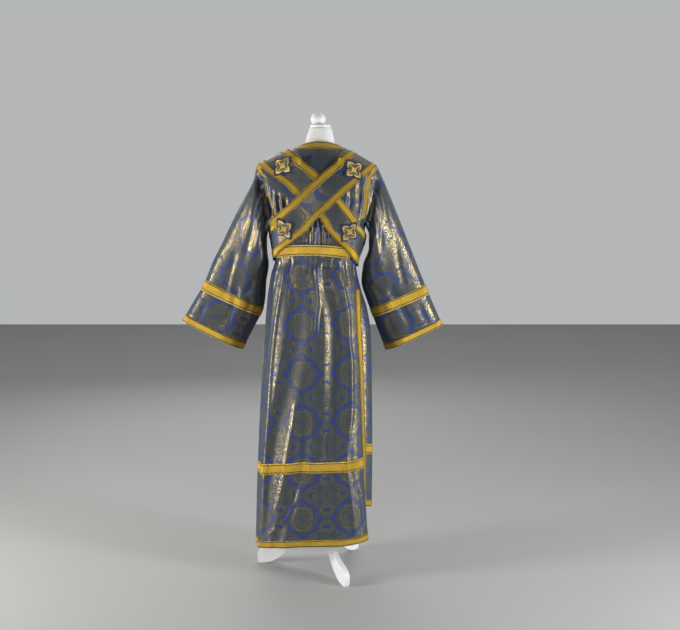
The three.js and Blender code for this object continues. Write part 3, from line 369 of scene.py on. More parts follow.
# Sleeves: the outer and inner edges of the flattened tube at each share of its length
Ring = namedtuple("Ring", "s outer_x outer_z inner_x inner_z thick y")
SLEEVE_RIGHT = rows_of(Ring, [
    (0, 206, 1428, 165, 1225, 86, -1),
    (0.08, 222, 1394, 177, 1196, 84, -2),
    (0.2, 247, 1335, 177, 1150, 77, 0),
    (0.34, 284, 1245, 158, 1092, 67, 3),
    (0.48, 321, 1153, 152, 1032, 58, 6),
    (0.62, 352, 1076, 170, 968, 52, 8),
    (0.74, 379, 1011, 184, 931, 50, 9),
    (0.87, 409, 942, 212, 857, 50, 10),
    (1, 438, 877, 238, 789, 52, 10),
])
SLEEVE_LEFT = rows_of(Ring, [
    (0, -210, 1434, -165, 1225, 86, -1),
    (0.08, -217, 1398, -177, 1196, 85, -2),
    (0.2, -245, 1340, -177, 1150, 80, 0),
    (0.34, -288, 1258, -172, 1092, 72, 3),
    (0.48, -331, 1171, -181, 1032, 62, 6),
    (0.62, -371, 1093, -186, 968, 54, 8),
    (0.74, -398, 1028, -194, 933, 51, 9),
    (0.87, -438, 960, -229, 864, 50, 10),
    (1, -478, 892, -266, 792, 52, 10),
])
Fullness = namedtuple("Fullness", "across back front")
SLEEVE_FULLNESS = rows_of(Fullness, [
    (-1, 0, 0),
    (-0.85, 0.4, 0.26),
    (-0.5, 0.68, 0.5),
    (0, 0.9, 0.78),
    (0.35, 1, 0.86),
    (0.6, 0.93, 0.72),
    (0.85, 0.58, 0.42),
    (1, 0.1, 0.1),
])
YOKE_ROWS = [0, 0.015, 0.05, 0.11, 0.2, 0.31, 0.43, 0.56, 0.7, 0.85, 1]
SLEEVE_BAND = (0.722, 0.788)
SLEEVE_CUFF = 0.957
SLEEVE_SEAM_GAP = 0.5
SLEEVE_BLEND = 0.22
RECESS_AT = 0.06
RECESS_REACH = 0.062
SLEEVE_LENGTH = 598
SLEEVE_AREA = 0.236
SLEEVE_PATTERN_ROUND = {"left": 32, "right": 84}
SLEEVE_PATTERN_DOWN = 60
SLEEVE_STEP = 0.004

# Creases on a sleeve: "round" is the place round it, 0 at the outer fold, 1 on the back's middle,
# 2 at the inner fold and 3 on the front's middle, and "s" is the share of its length
SleeveCrease = namedtuple("SleeveCrease", "round s to_round to_s width depth")
RIGHT_SLEEVE_CREASES = rows_of(SleeveCrease, [
    (0.28, 0.03, 0.42, 0.5, 12, 1.5),
    (0.6, 0.02, 0.75, 0.3, 12, 2.5),
    (0.85, 0.03, 1, 0.4, 14, 2.5),
    (1.15, 0.05, 1.2, 0.34, 12, 2.5),
    (1.45, 0.08, 1.3, 0.5, 15, 3),
    (1.7, 0.22, 1.2, 0.62, 15, 2.5),
    (1.85, 0.38, 1.4, 0.68, 11, 3),
    (0.5, 0.42, 0.62, 0.7, 11, 2),
    (1.1, 0.6, 0.9, 0.93, 15, 3),
    (1.55, 0.7, 1.5, 0.96, 12, 3),
    (0.45, 0.8, 0.4, 0.98, 12, 2),
    (3.5, 0.03, 3.2, 0.4, 14, 2.5),
    (3, 0.05, 2.9, 0.5, 14, 2.5),
    (2.5, 0.1, 2.7, 0.6, 15, 2.5),
    (3.3, 0.5, 3.1, 0.9, 14, 3),
    (2.6, 0.6, 2.5, 0.97, 12, 3),
])
LEFT_SLEEVE_CREASES = rows_of(SleeveCrease, [
    (0.3, 0.04, 0.4, 0.42, 12, 1.5),
    (0.55, 0.02, 0.8, 0.28, 12, 2.5),
    (0.95, 0.03, 0.9, 0.46, 14, 3),
    (1.3, 0.05, 1.1, 0.36, 12, 2.5),
    (1.6, 0.1, 1.35, 0.55, 15, 3),
    (1.8, 0.3, 1.3, 0.7, 12, 4),
    (0.6, 0.45, 0.7, 0.8, 12, 3),
    (1, 0.62, 1.15, 0.95, 14, 4),
    (1.5, 0.66, 1.6, 0.97, 12, 3),
    (0.35, 0.82, 0.4, 0.99, 11, 2),
    (3.4, 0.04, 3.2, 0.5, 14, 2.5),
    (2.9, 0.06, 3, 0.4, 14, 2.5),
    (2.4, 0.15, 2.6, 0.6, 15, 2.5),
    (3.1, 0.55, 3, 0.92, 14, 3),
    (2.5, 0.66, 2.6, 0.98, 12, 3),
])

# The dress form: level sections, then the shoulders that carry the robe, then the neck
Level = namedtuple("Level", "z left right back front")
FORM_BODY = rows_of(Level, [
    (858, -110, 106, 84, 80),
    (864, -124, 120, 94, 92),
    (905, -140, 136, 100, 98),
    (970, -136, 132, 98, 96),
    (1040, -118, 114, 90, 88),
    (1105, -105, 103, 84, 82),
    (1170, -115, 113, 90, 94),
    (1250, -133, 131, 98, 104),
    (1330, -149, 149, 98, 98),
    (1385, -168, 169, 84, 78),
    (1415, -184, 184, 66, 60),
])
Shoulder = namedtuple("Shoulder", "share back front")
FORM_SHOULDERS = rows_of(Shoulder, [
    (0.82, 52, 46),
    (0.56, 40, 37),
    (0.36, 28, 25),
    (0.2, 14, 11),
])
FORM_NECK = rows_of(Level, [
    (1494, -46, 62, 40, 40),
    (1526, -39, 56, 41, 41),
    (1560, -28, 48, 36, 36),
])
FORM_CLEARANCE = 0.55

Turned = namedtuple("Turned", "x radius bottom top")
NECK_CAP = Turned(10, 35, 1560.4, 1571)
KNOB = Turned(2, 26, 1571.4, 1612)
KNOB_STEM = 13

# The trellis of the brocade, in periods of the pattern
PATTERN_ACROSS = 168
PATTERN_ALONG = 167.5
PATTERN_X = 31
PATTERN_Z = 460

# The photograph's camera, solved from the stand's feet: metres, degrees and pixels
CAMERA_ASIDE = 0.077
CAMERA_HEIGHT = 1.289
CAMERA_TILT = 6.6
FOCAL_PIXELS = 930
PHOTO_PIXELS = 680


def mix(a, b, t):
    return a + (b - a) * t


def smooth(x):
    x = np.clip(x, 0, 1)
    return x * x * (3 - 2 * x)


def bell(x):
    return np.where(np.abs(x) < 1, (1 - np.minimum(np.abs(x), 1) ** 2) ** 2, 0.0)


def unit(vectors):
    return vectors / np.maximum(np.linalg.norm(vectors, axis=-1, keepdims=True), 1e-9)


def curve(pairs):
    """A smooth curve through pairs (x, value) that never overshoots them."""
    rows = sorted(pairs)
    x = np.array([row[0] for row in rows], float)
    y = np.array([row[1] for row in rows], float)
    steps = np.diff(y) / np.diff(x)
    before = np.concatenate([steps[:1], steps])
    after = np.concatenate([steps, steps[-1:]])
    same = before * after > 0
    slopes = np.where(same, 2 * before * after / np.where(same, before + after, 1), 0)

    def at(value):
        value = np.clip(value, x[0], x[-1])
        i = np.clip(np.searchsorted(x, value, side="right") - 1, 0, len(x) - 2)
        width = x[i + 1] - x[i]
        t = (value - x[i]) / width
        low = (1 + 2 * t) * (1 - t) ** 2 * y[i] + t * (1 - t) ** 2 * width * slopes[i]
        return low + t * t * (3 - 2 * t) * y[i + 1] + t * t * (t - 1) * width * slopes[i + 1]

    return at


def columns_of(rows, key):
    """The smooth curve of each other column of a table against one of them."""
    names = [name for name in rows[0]._fields if name != key]
    made = {name: curve([(getattr(row, key), getattr(row, name)) for row in rows]) for name in names}
    return namedtuple("Columns", names)(**made)


body = columns_of(BODY, "z")
edge = columns_of(EDGES, "z")
fullness = columns_of(SLEEVE_FULLNESS, "across")
slit_tuck = columns_of(SLIT_TUCK, "z").depth


def fold_curves(fold):
    """A fold's turn and depth at any height."""
    turns = [(THIGH, fold.thigh_turn), (KNEE, fold.knee_turn), (HEM, fold.hem_turn)]
    depths = [(fold.start, 0), (KNEE, fold.knee), (HEM, fold.hem)]
    if fold.start > THIGH:
        turns.append((fold.start, fold.turn))
        depths.append((THIGH, fold.thigh))
    return curve(turns), curve(depths), fold.reach, fold.ease


fold_lines = [fold_curves(fold) for fold in FOLDS]
crest_lines = [(curve(c.line), c.line[-1][0], c.line[0][0], c.width, c.height) for c in CRESTS]


def top_edge(turn):
    """The shoulder line and neckline over a column: y, z, and how open the neck is there."""
    on_back = np.cos(np.radians(turn)) > 0
    x = SPREAD_CENTRE + SPREAD_HALF * np.sin(np.radians(turn))
    across = (x - NECK.x) / NECK.half
    neck = np.sqrt(np.clip(1 - across * across, 0, 1))
    left = across < 0
    tip_x = np.where(left, SHOULDER_LEFT.x, SHOULDER_RIGHT.x)
    tip_z = np.where(left, SHOULDER_LEFT.z, SHOULDER_RIGHT.z)
    start = NECK.x + np.where(left, -1, 1) * NECK.half
    share = np.maximum((x - start) / (tip_x - start), 0)
    on_neck = np.abs(across) < 1
    z = np.where(
        on_neck,
        NECK.z + np.where(on_back, NECK.back_rise, -NECK.front_drop) * neck * neck,
        NECK.z - (NECK.z - tip_z) * share ** SHOULDER_DROOP,
    )
    y = np.where(on_back, -SEAM_Y - NECK.back * neck, SEAM_Y + NECK.front * neck)
    return y, z, neck


def outline(turn, z):
    """Points of the body's outline, without folds."""
    turn, z = np.broadcast_arrays(np.asarray(turn, float), np.asarray(z, float))
    s, c = np.sin(np.radians(turn)), np.cos(np.radians(turn))
    power = body.corner(z)
    r = (np.abs(s) ** power + np.abs(c) ** power) ** (-1 / power)
    depth = np.where(c > 0, body.back(z), body.front(z))
    top_y, top_z, neck = top_edge(turn)
    in_neck = smooth(neck * 1.4)
    down = np.clip((top_z - z) / mix(54, 100, in_neck), 0, 1)
    rounded = (1 - (1 - down) ** 2) ** mix(0.62, 0.9, in_neck)
    return np.stack([body.centre(z) + body.half(z) * r * s, mix(top_y, -depth * r * c, rounded), z], -1)


def outward(turn, z):
    """The outward direction of the body's outline."""
    side = outline(turn + 0.4, z) - outline(turn - 0.4, z)
    lower = outline(turn, z - 2) - outline(turn, z)
    return unit(np.cross(lower, side))


def panel_edges(side, z):
    """A panel's first and last turn at a height."""
    if side == "back":
        return -edge.back_left(z), edge.back_right(z)
    return edge.front_right(z), 360 - edge.front_left(z)


def yoke_share(turn, z):
    """How far down a point is from the shoulder line to the underarm."""
    top_z = top_edge(turn)[1]
    return np.clip((top_z - z) / np.maximum(top_z - UNDERARM, 1), 0, 1)


def guide_height(turn, z):
    """The height at which a point looks up its panel's edges: in the yoke it follows the shoulder line."""
    return np.where(z > UNDERARM, mix(YOKE_TOP, UNDERARM, yoke_share(turn, z)), z)


def fold_depth(turn, z, share, gathers):
    """How far the cloth falls inside its outline in the large folds and the gathers at the waist."""
    depth = np.zeros_like(turn)
    for turn_at, depth_at, reach, ease in fold_lines:
        off = (turn - turn_at(z) + 540) % 360 - 180
        depth = np.maximum(depth, depth_at(z) * bell(off / np.where(off > 0, reach * ease, reach)))
    span = np.where(z > GATHERS.strongest, GATHERS.above, GATHERS.below)
    drawn = bell((z - GATHERS.strongest) / span)
    wave = (0.5 - 0.5 * np.cos(2 * np.pi * share * gathers)) * (0.75 + 0.25 * np.sin(9 * share))
    return np.maximum(depth, GATHERS.depth * drawn * wave * smooth((0.5 - np.abs(share - 0.5)) * 14))


def crease_depth(x, y, ends, width, depth):
    """A soft trough from one place to another, in millimetres of cloth, that fades at its ends."""
    x0, y0, x1, y1 = ends
    dx, dy = x1 - x0, y1 - y0
    along = np.clip(((x - x0) * dx + (y - y0) * dy) / (dx * dx + dy * dy), 0, 1)
    off = np.hypot(x - x0 - along * dx, y - y0 - along * dy)
    fade = smooth(np.minimum(along, 1 - along) * 3.5 + 0.12)
    return depth * fade * bell(off / width)


def small_creases(turn, z, side):
    """The listed creases of a panel, and on the back the crests of its folds."""
    depth = np.zeros_like(turn)
    for c in BACK_CREASES if side == "back" else FRONT_CREASES:
        ends = (c.turn * PACE, c.z, c.to_turn * PACE, c.to_z)
        depth = depth + crease_depth(turn * PACE, z, ends, c.width * 1.25, c.depth)
    if side == "back":
        for turn_at, low, high, width, height in crest_lines:
            fade = smooth((z - low + 20) / 60) * smooth((high - z) / 50)
            depth = depth - height * fade * bell((turn - turn_at(z)) * PACE / (width * 1.6))
    return depth


def underlap(turn, z):
    """How far in the front panel lies where it is under the back one, fading out past the back's edge."""
    down = smooth((UNDERARM - z) / 40)
    right = (1 - smooth((turn - edge.back_right(z)) / UNDERLAP_FADE)) * (UNDERLAP_INSET + slit_tuck(z))
    left = (1 - smooth((360 - turn - edge.back_left(z)) / UNDERLAP_FADE)) * UNDERLAP_INSET
    return np.where(z > UNDERARM, 0, down * np.maximum(right, left))


def tuck_ends(down):
    """The armhole tuck's rise below the shoulder and its fall above the underarm."""
    return smooth(down / TUCK_START) * smooth((1 - down) / TUCK_END)


def edge_tuck(side, turn, z, first, last):
    """How far a panel's side edge turns inwards, into the armhole or the slit."""
    pace = np.linalg.norm(outline(turn + 0.5, z) - outline(turn - 0.5, z), axis=-1)

    def ramp(apart, width):
        return smooth(1 - apart * pace / width)

    low, high = (ARMHOLE_TUCK[side, which] for which in SIDES_OF[side])
    near_low, near_high = ramp(turn - first, low.width), ramp(last - turn, high.width)
    armhole_part = tuck_ends(yoke_share(turn, z)) * (low.depth * near_low + high.depth * near_high)
    slit_part = slit_tuck(z) * ramp(last - turn, SLIT_TUCK_WIDTH) if side == "back" else 0
    return np.where(z > UNDERARM, armhole_part, slit_part)


def skin(side, turn, z):
    """Points of a panel's outer face."""
    turn, z = np.broadcast_arrays(np.asarray(turn, float), np.asarray(z, float))
    first, last = panel_edges(side, guide_height(turn, z))
    share = np.clip((turn - first) / (last - first), 0, 1)
    fall = fold_depth(turn, z, share, GATHERS.back if side == "back" else GATHERS.front)
    top_z = top_edge(turn)[1]
    fine = small_creases(turn, z, side) * smooth((top_z - z) / 30)
    inset = edge_tuck(side, turn, z, first, last) + (0 if side == "back" else underlap(turn, z))
    return outline(turn, z) - outward(turn, z) * (fall + fine + inset)[..., None]


def skin_normal(side, turn, z):
    """The outward direction of a panel's folded face."""
    _, top_z, _ = top_edge(turn)
    upper = np.minimum(z + 1.5, top_z)
    across = skin(side, turn + 0.3, z) - skin(side, turn - 0.3, z)
    down = skin(side, turn, z - 1.5) - skin(side, turn, upper)
    return unit(np.cross(down, across))


def hem_shift(side, turn, level):
    """How far a level row of a panel moves up, so that the lowest one ends on the uneven hem."""
    if side == "back":
        rise = BACK_RIGHT_RISE * smooth((turn - 15) / 50) - BACK_LEFT_DROP * smooth((-turn - 5) / 70)
    else:
        rise = FRONT_SLIT_RISE * smooth((105 - turn) / 60)
        rise = rise + FRONT_HEM_RISE * (0.5 - 0.5 * np.cos(np.radians(turn))) ** 4
    return rise * smooth((SHIFT_TOP - level) / SHIFT_SPAN)


def in_from_edge(turn, z, width, direction):
    """The turn that lies a given width of cloth in from a panel's edge."""
    pace = np.linalg.norm(outline(turn + direction, z) - outline(turn, z), axis=-1)
    return turn + direction * width / pace


def panel_grid(side, skirt_rows, columns):
    """Turns and heights over a whole panel: the yoke from its shoulder line, then the skirt."""
    share = np.linspace(0, 1, columns + 1)[None, :]
    down = (np.linspace(0, 1, YOKE_STEPS + 1) ** 1.4)[:, None]
    first, last = panel_edges(side, mix(YOKE_TOP, UNDERARM, down))
    yoke_turn = mix(first, last, share)
    yoke_z = mix(top_edge(yoke_turn)[1], UNDERARM, down)
    level = mix(UNDERARM, HEM_OF[side], np.linspace(0, 1, skirt_rows + 1)[1:, None])
    first, last = panel_edges(side, level)
    skirt_turn = mix(first, last, share)
    skirt_z = level + hem_shift(side, skirt_turn, level)
    return np.vstack([yoke_turn, skirt_turn]), np.vstack([yoke_z, skirt_z])


def lengths_along(points, axis=0):
    """The length of cloth from the first point to each one, along one axis of a grid."""
    steps = np.linalg.norm(np.diff(points, axis=axis), axis=-1)
    return np.concatenate([np.zeros_like(np.take(steps, [0], axis)), np.cumsum(steps, axis)], axis)


def woven_uv(points, turn, middle, side):
    """Places in the cloth's pattern, in periods, from the lengths of cloth across and down."""
    u = lengths_along(points, 1)
    zero = np.array([np.interp(middle, turn_row, u_row) for turn_row, u_row in zip(turn, u)])
    u = u - zero[:, None]
    if side == "back":
        u = u + body.centre(points[:, :, 2])
    v = lengths_along(points)
    v = UNDERARM - (v - v[YOKE_STEPS])
    return np.stack([(u - PATTERN_X) / PATTERN_ACROSS, (v - PATTERN_Z) / PATTERN_ALONG], -1)


def sheet_object(name, points, uv, thickness, finishes, ring=False, lined=False):
    """A sheet of cloth from its outer face: a grid of points whose columns run round it."""
    rows, columns = points.shape[:2]
    spans = columns if ring else columns - 1
    i, j = (a.ravel() for a in np.meshgrid(np.arange(rows - 1), np.arange(spans), indexing="ij"))

    def quads(wide, right):
        return np.stack([i * wide + j, (i + 1) * wide + j, (i + 1) * wide + right, i * wide + right], 1)

    faces = quads(columns, (j + 1) % columns)
    corners = quads(uv.shape[1], j + 1)
    mesh = bpy.data.meshes.new(name)
    mesh.from_pydata(((points + POLE_AXIS) * MM).reshape(-1, 3).tolist(), [], faces.tolist())
    layer = mesh.uv_layers.new(name="weave")
    layer.data.foreach_set("uv", uv.reshape(-1, 2)[corners.ravel()].astype(np.float32).ravel())
    mesh.shade_smooth()
    for finish in finishes:
        mesh.materials.append(finish)
    made = bpy.data.objects.new(name, mesh)
    bpy.context.scene.collection.objects.link(made)
    if thickness:
        wall = made.modifiers.new("Cloth", "SOLIDIFY")
        wall.thickness = thickness * MM
        wall.offset = -1
        wall.use_rim = True
        if lined:
            wall.material_offset = 1
    return made


def area_of(points, ring=False):
    """Square metres of a grid's face."""
    if ring:
        points = np.concatenate([points, points[:, :1]], axis=1)
    a, b, c, d = points[:-1, :-1], points[1:, :-1], points[1:, 1:], points[:-1, 1:]
    both = np.linalg.norm(np.cross(b - a, c - a), axis=-1) + np.linalg.norm(np.cross(c - a, d - a), axis=-1)
    return float(both.sum() / 2) * MM * MM


def facing(points, normals):
    """Whether the grid's faces look the way of its normals."""
    down = points[1:, :-1] - points[:-1, :-1]
    side = points[:-1, 1:] - points[:-1, :-1]
    return np.sum(np.cross(down, side) * normals[:-1, :-1]) > 0


def turned_out(points, uv, normals):
    """The grid and its UV, their columns turned about where the faces would look inwards."""
    if facing(points, normals):
        return points, uv
    return points[:, ::-1], uv[:, ::-1]


def stand_for(made, node):
    """Hides the solid that an object replaces and hangs the object on the root body. The whole vestment is
    one body.
    """
    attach(made, "root")
    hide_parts(node)


def settle(made, node, area=None):
    """Hides the solid that a sheet replaces and hangs the sheet on the root body; its area is not used."""
    stand_for(made, node)


def braid_sheet(node, base, normals, lengthwise, width, ring=False):
    """A woven braid over a strip of another surface. lengthwise is the grid's axis along the braid."""
    points = base + normals * (SEAM_GAP + BRAID)
    braid_from(node, points, normals, lengthwise, width, ring)


def braid_from(node, points, normals, lengthwise, width, ring=False):
    """A woven braid whose outer face is a grid of points."""
    if not facing(points, normals):
        points = points[:, ::-1]
    closed = np.concatenate([points, points[:, :1]], axis=1) if ring else points
    along = lengths_along(closed, lengthwise).mean(axis=1 - lengthwise)
    across = np.linspace(0, 1, closed.shape[1 - lengthwise])
    if lengthwise == 1:
        u, v = np.meshgrid(along / width, across)
    else:
        v, u = np.meshgrid(across, along / width)
    uv = np.stack([u, v], -1)
    finish = finishes["wide_braid"] if width == WIDE_BRAID else finishes["narrow_braid"]
    made = sheet_object(f"{node}_trim", points, uv, BRAID, [finish], ring)
    area = area_of(points, ring)
    settle(made, node)


finishes = {}


def make_panel(side):
    """A front or back panel of the robe, and the braids sewn on it."""
    is_back = side == "back"
    cut = PANEL_CUT[side]
    turn, z = panel_grid(side, cut.rows, cut.columns)
    points = skin(side, turn, z)
    uv = woven_uv(outline(turn, z), turn, 0 if is_back else 180, side)
    cloths = [finishes["brocade"], finishes["lining"]]
    panel = sheet_object(f"{side}_panel_cloth", points, uv, CLOTH, cloths, lined=True)
    settle(panel, f"{side}_panel", area=cut.area)

    def strip(node, turns, heights, lengthwise, width):
        base = skin(side, turns, heights)
        return braid_sheet(node, base, skin_normal(side, turns, heights), lengthwise, width)

    # round the neck
    place = np.sin(np.linspace(-0.5, 0.5, 81) * np.pi)[None, :]
    out = np.linspace(0.02, 1, 9)[:, None]
    x = NECK.x + (NECK.half + NECK_BRAID_REACH * out) * place
    turns = np.degrees(np.arcsin((x - SPREAD_CENTRE) / SPREAD_HALF))
    turns = turns if is_back else 180 - turns[:, ::-1]
    drop = NARROW_BRAID * out * (1 - np.abs(place) ** 3) ** 0.8
    strip(f"neck_braid_{side}", turns, top_edge(turns)[1] - np.maximum(drop, 0.4), 1, NARROW_BRAID)

    for which, direction in zip(SIDES_OF[side], (1, -1)):
        # along the armhole
        down = (np.linspace(0.002, ARMHOLE_BRAID_END, 60) ** 1.2)[:, None]
        guide = mix(YOKE_TOP, UNDERARM, down)
        outer = panel_edges(side, guide)[0 if direction == 1 else 1]
        tuck = ARMHOLE_TUCK[side, which]
        level_width = WIDE_BRAID * tuck.width / math.hypot(tuck.width, tuck.depth)
        spanned = mix(WIDE_BRAID, level_width, tuck_ends(down))
        inner = in_from_edge(outer, np.minimum(guide, 1400), spanned, direction)
        turns = mix(outer, inner, np.linspace(0, 1, 9)[None, :])
        strip(f"armhole_braid_{side}_{which}", turns, mix(top_edge(turns)[1], UNDERARM, down), 0, WIDE_BRAID)
        # down the side slit
        level = np.linspace(SLIT_TOP, HEM_OF[side], 160)[:, None]
        outer = panel_edges(side, level)[0 if direction == 1 else 1]
        inner = in_from_edge(outer, level, NARROW_BRAID, direction)
        turns = mix(outer, inner, np.linspace(0, 1, 7)[None, :])
        heights = level + hem_shift(side, turns, level)
        strip(f"slit_braid_{side}_{which}", turns, heights, 0, NARROW_BRAID)

    # the wide band near the hem, and the hem
    for node, upper, width in (
        (f"lower_band_{side}", BAND_TOP if is_back else BAND_TOP + FRONT_BAND_RISE, WIDE_BRAID),
        (f"hem_braid_{side}", HEM_OF[side] + NARROW_BRAID, NARROW_BRAID),
    ):
        level = np.linspace(upper, upper - width, 9)[:, None]
        first, last = panel_edges(side, level)
        low = in_from_edge(first, level, NARROW_BRAID + 0.5, 1)
        high = in_from_edge(last, level, NARROW_BRAID + 0.5, -1)
        turns = mix(low, high, np.linspace(0, 1, 141)[None, :])
        strip(node, turns, level + hem_shift(side, turns, level), 1, width)


def armhole(side_of_body, place):
    """Points round the armhole: 0 at the shoulder tip, 10 and 11 under the arm, 21 at the tip again."""
    onto = np.where(place <= 10.5, np.minimum(place, 10), np.minimum(21 - place, 10))
    down = np.interp(onto, np.arange(len(YOKE_ROWS)), YOKE_ROWS)
    found = []
    for side in ("back", "front"):
        at_start = (side == "back") != (side_of_body == "right")
        turns = panel_edges(side, mix(YOKE_TOP, UNDERARM, down))[0 if at_start else 1]
        found.append(skin(side, turns, mix(top_edge(turns)[1], UNDERARM, down)))
    on_front = np.clip(place - 10, 0, 1)[..., None]
    return mix(found[0], found[1], on_front)


def make_sleeve(name, table, creases, side_of_body, recess):
    """A sleeve from the armhole to the cuff, with its band and its cuff's braid."""
    at = columns_of(table, "s")
    spans = 7
    place = np.linspace(0, 21, 21 * spans + 1)[:-1]
    hole = armhole(side_of_body, place)[None]
    out = 1 if side_of_body == "right" else -1

    def own(s, k):
        """The tube's own ring, before the armhole bends it."""
        on_back = k <= 10.5
        across = -1 + 2 * np.where(on_back, np.minimum(k, 10), np.minimum(21 - k, 10)) / 10
        t = (across + 1) / 2
        between = np.clip(k - 10, 0, 1)
        full = mix(-fullness.back(across), fullness.front(across), between)
        return np.stack([
            mix(at.outer_x(s), at.inner_x(s), t),
            at.y(s) + at.thick(s) * full,
            mix(at.outer_z(s), at.inner_z(s), t),
        ], -1)

    def surface(s):
        """The sleeve's outer face at each share of its length in a column."""
        s, k = np.broadcast_arrays(s[:, None], place[None, :])
        away = (hole - own(np.zeros_like(s), k)) * (1 - smooth(s / SLEEVE_BLEND))[..., None]
        return own(s, k) + away + np.array([out * SLEEVE_SEAM_GAP, 0, 0])

    def normals_of(points, down):
        """The outward directions of the tube's rings, from the way down it."""
        around = np.roll(points, -1, axis=1) - np.roll(points, 1, axis=1)
        normal = unit(np.cross(down, around))
        middle = points.mean(axis=1, keepdims=True)
        return normal * np.sign(np.sum(normal * (points - middle)))

    def folded(s):
        """The sleeve's outer face with its creases, and its normals."""
        points = surface(s)
        normals = normals_of(points, np.gradient(points, axis=0))
        down = s[:, None]
        girth = 2 * np.hypot(at.outer_x(s) - at.inner_x(s), at.outer_z(s) - at.inner_z(s))[:, None]
        around = (place / 21 * 4)[None, :]
        fall = np.zeros(points.shape[:2])
        for c in creases:
            middle = mix(c.round, c.to_round, smooth((down - c.s) / (c.to_s - c.s)))
            shift = (around - middle + 2) % 4 - 2
            fade = smooth((down - c.s + 0.02) / 0.09) * smooth((c.to_s - down + 0.02) / 0.12)
            fall = fall + c.depth * fade * bell(shift * girth / 4 / (c.width * 1.4))
        beside = bell((down - RECESS_AT) / RECESS_REACH) * recess
        fall = fall + beside * smooth((place - 0.8) / 2.5) * smooth((11 - place) / 3)
        points = points - normals * (fall * smooth(down / 0.03))[..., None]
        return points, normals_of(points, np.gradient(points, axis=0))

    shares = np.linspace(0, 1, 131)
    points, normals = folded(shares)
    lengths = lengths_along(np.concatenate([points, points[:, :1]], axis=1), 1)
    u = out * (lengths - SLEEVE_PATTERN_ROUND[side_of_body])
    v = np.broadcast_to(-shares[:, None] * SLEEVE_LENGTH, lengths.shape) - SLEEVE_PATTERN_DOWN
    uv = np.stack([u / PATTERN_ACROSS, v / PATTERN_ALONG], -1)
    points, uv = turned_out(points, uv, normals)
    cloths = [finishes["brocade"], finishes["lining"]]
    cloth = sheet_object(f"{name}_cloth", points, uv, CLOTH, cloths, ring=True, lined=True)
    settle(cloth, name, area=SLEEVE_AREA)
    for node, first, last, width in (
        (f"{name}_band", SLEEVE_BAND[0], SLEEVE_BAND[1], WIDE_BRAID),
        (f"{name}_cuff_braid", SLEEVE_CUFF, 1, NARROW_BRAID),
    ):
        part = np.linspace(first, last, 9)
        base = folded(part)[0]
        ahead = folded(np.minimum(part + SLEEVE_STEP, 1))[0]
        normals = normals_of(base, ahead - folded(part - SLEEVE_STEP)[0])
        braid_sheet(node, base, normals, 1, width, ring=True)


def lift_of(kind):
    """Height of a stretch of the orarion over the body's outline, along its length."""
    if kind == "girdle":
        return lambda share: OVER_BODY + GIRDLE_LIFT * smooth(np.minimum(share, 1 - share) * 5.5)

    def lift(share):
        rest = mix(OVER_SHOULDER, OVER_BODY, smooth(share / 0.05))
        if kind == "right":
            rest = rest + CROSSING_LIFT * bell((share - 0.44) / 0.42)
        return rest

    return lift


class Stretch:
    """One stretch of the orarion: points over the body's outline from shares along and across."""

    def __init__(self, stations, kind):
        ends = np.linspace(0, 1, len(stations))
        self.at = [curve(list(zip(ends, column))) for column in zip(*stations)]
        self.lift = lift_of(kind)

    def place(self, along, across):
        near, near_z, far, far_z = (at(along) for at in self.at)
        turn = mix(near, far, across)
        z = mix(near_z, far_z, across)
        return turn, np.minimum(z, top_edge(turn)[1])

    def points(self, along, across, over=0.0):
        turn, z = self.place(along, across)
        normal = outward(turn, z)
        return outline(turn, z) + normal * (self.lift(along) + over)[..., None], normal


stretches = {}


def make_stretch(node, stations, kind, steps):
    """A stretch of the orarion, with a braid along each of its edges."""
    stretch = Stretch(stations, kind)
    stretches[node] = stretch
    shares = np.linspace(0, 1, steps + 1) ** (1 if kind == "girdle" else 1.25)
    along, across = np.meshgrid(shares, np.linspace(0, 1, 25), indexing="ij")
    pillow = 0.5 * np.sin(np.pi * across) ** 0.5
    points, normals = stretch.points(along, across, ORARION_WALL + pillow - 0.3)
    v = lengths_along(points[:, 12])
    crossing = np.interp(0.44 if kind != "left" else 0.42, shares, v)
    uv = np.stack([
        0.5 + (across - 0.5) * ORARION_WIDTH / PATTERN_ACROSS,
        np.broadcast_to(((v - crossing) / PATTERN_ALONG)[:, None], across.shape),
    ], -1)
    points, uv = turned_out(points, uv, normals)
    cloth = sheet_object(f"{node}_cloth", points, uv, ORARION_WALL, [finishes["brocade"]])
    settle(cloth, node)
    edge_share = NARROW_BRAID / ORARION_WIDTH
    for which, low, high in (("inner", 0, edge_share), ("outer", 1 - edge_share, 1)):
        along, across = np.meshgrid(shares, np.linspace(low, high, 7), indexing="ij")
        points, normals = stretch.points(along, across, ORARION_WALL + 2 * SEAM_GAP + BRAID - 0.3)
        braid_from(f"{node}_braid_{which}", points, normals, 0, NARROW_BRAID)


def make_ribbon():
    """The waist ribbon: level across the middle, drooping to the sides, narrowed at its left end, where it
    would turn under.
    """
    share = np.linspace(0, 1, 91)
    turn = mix(RIBBON.left, RIBBON.right, share)[None, :]
    middle = RIBBON.middle - RIBBON.drop * (2 * share - 1) ** 2
    taper = mix(0.66, 1, smooth(share / 0.1))
    z = middle[None, :] + (WIDE_BRAID / 2) * taper * np.linspace(1, -1, 13)[:, None]
    turn = np.broadcast_to(turn, z.shape)
    wave = 0.8 * np.sin(share * 17 + 1.2)[None, :] * smooth(share * 8)[None, :]
    points = outline(turn, z) + outward(turn, z) * (RIBBON.lift + BRAID + np.clip(wave, 0, 1))[..., None]
    braid_from("waist_ribbon", points, outward(turn, z), 1, WIDE_BRAID)


def cross_radius(angle):
    """A cross of four leaf petals: its edge's distance from the middle, as a share of a petal."""
    off = np.abs((angle + np.pi / 4) % (np.pi / 2) - np.pi / 4) / (np.pi / 4)
    return mix(CROSS_WAIST, 1, 1 - off)


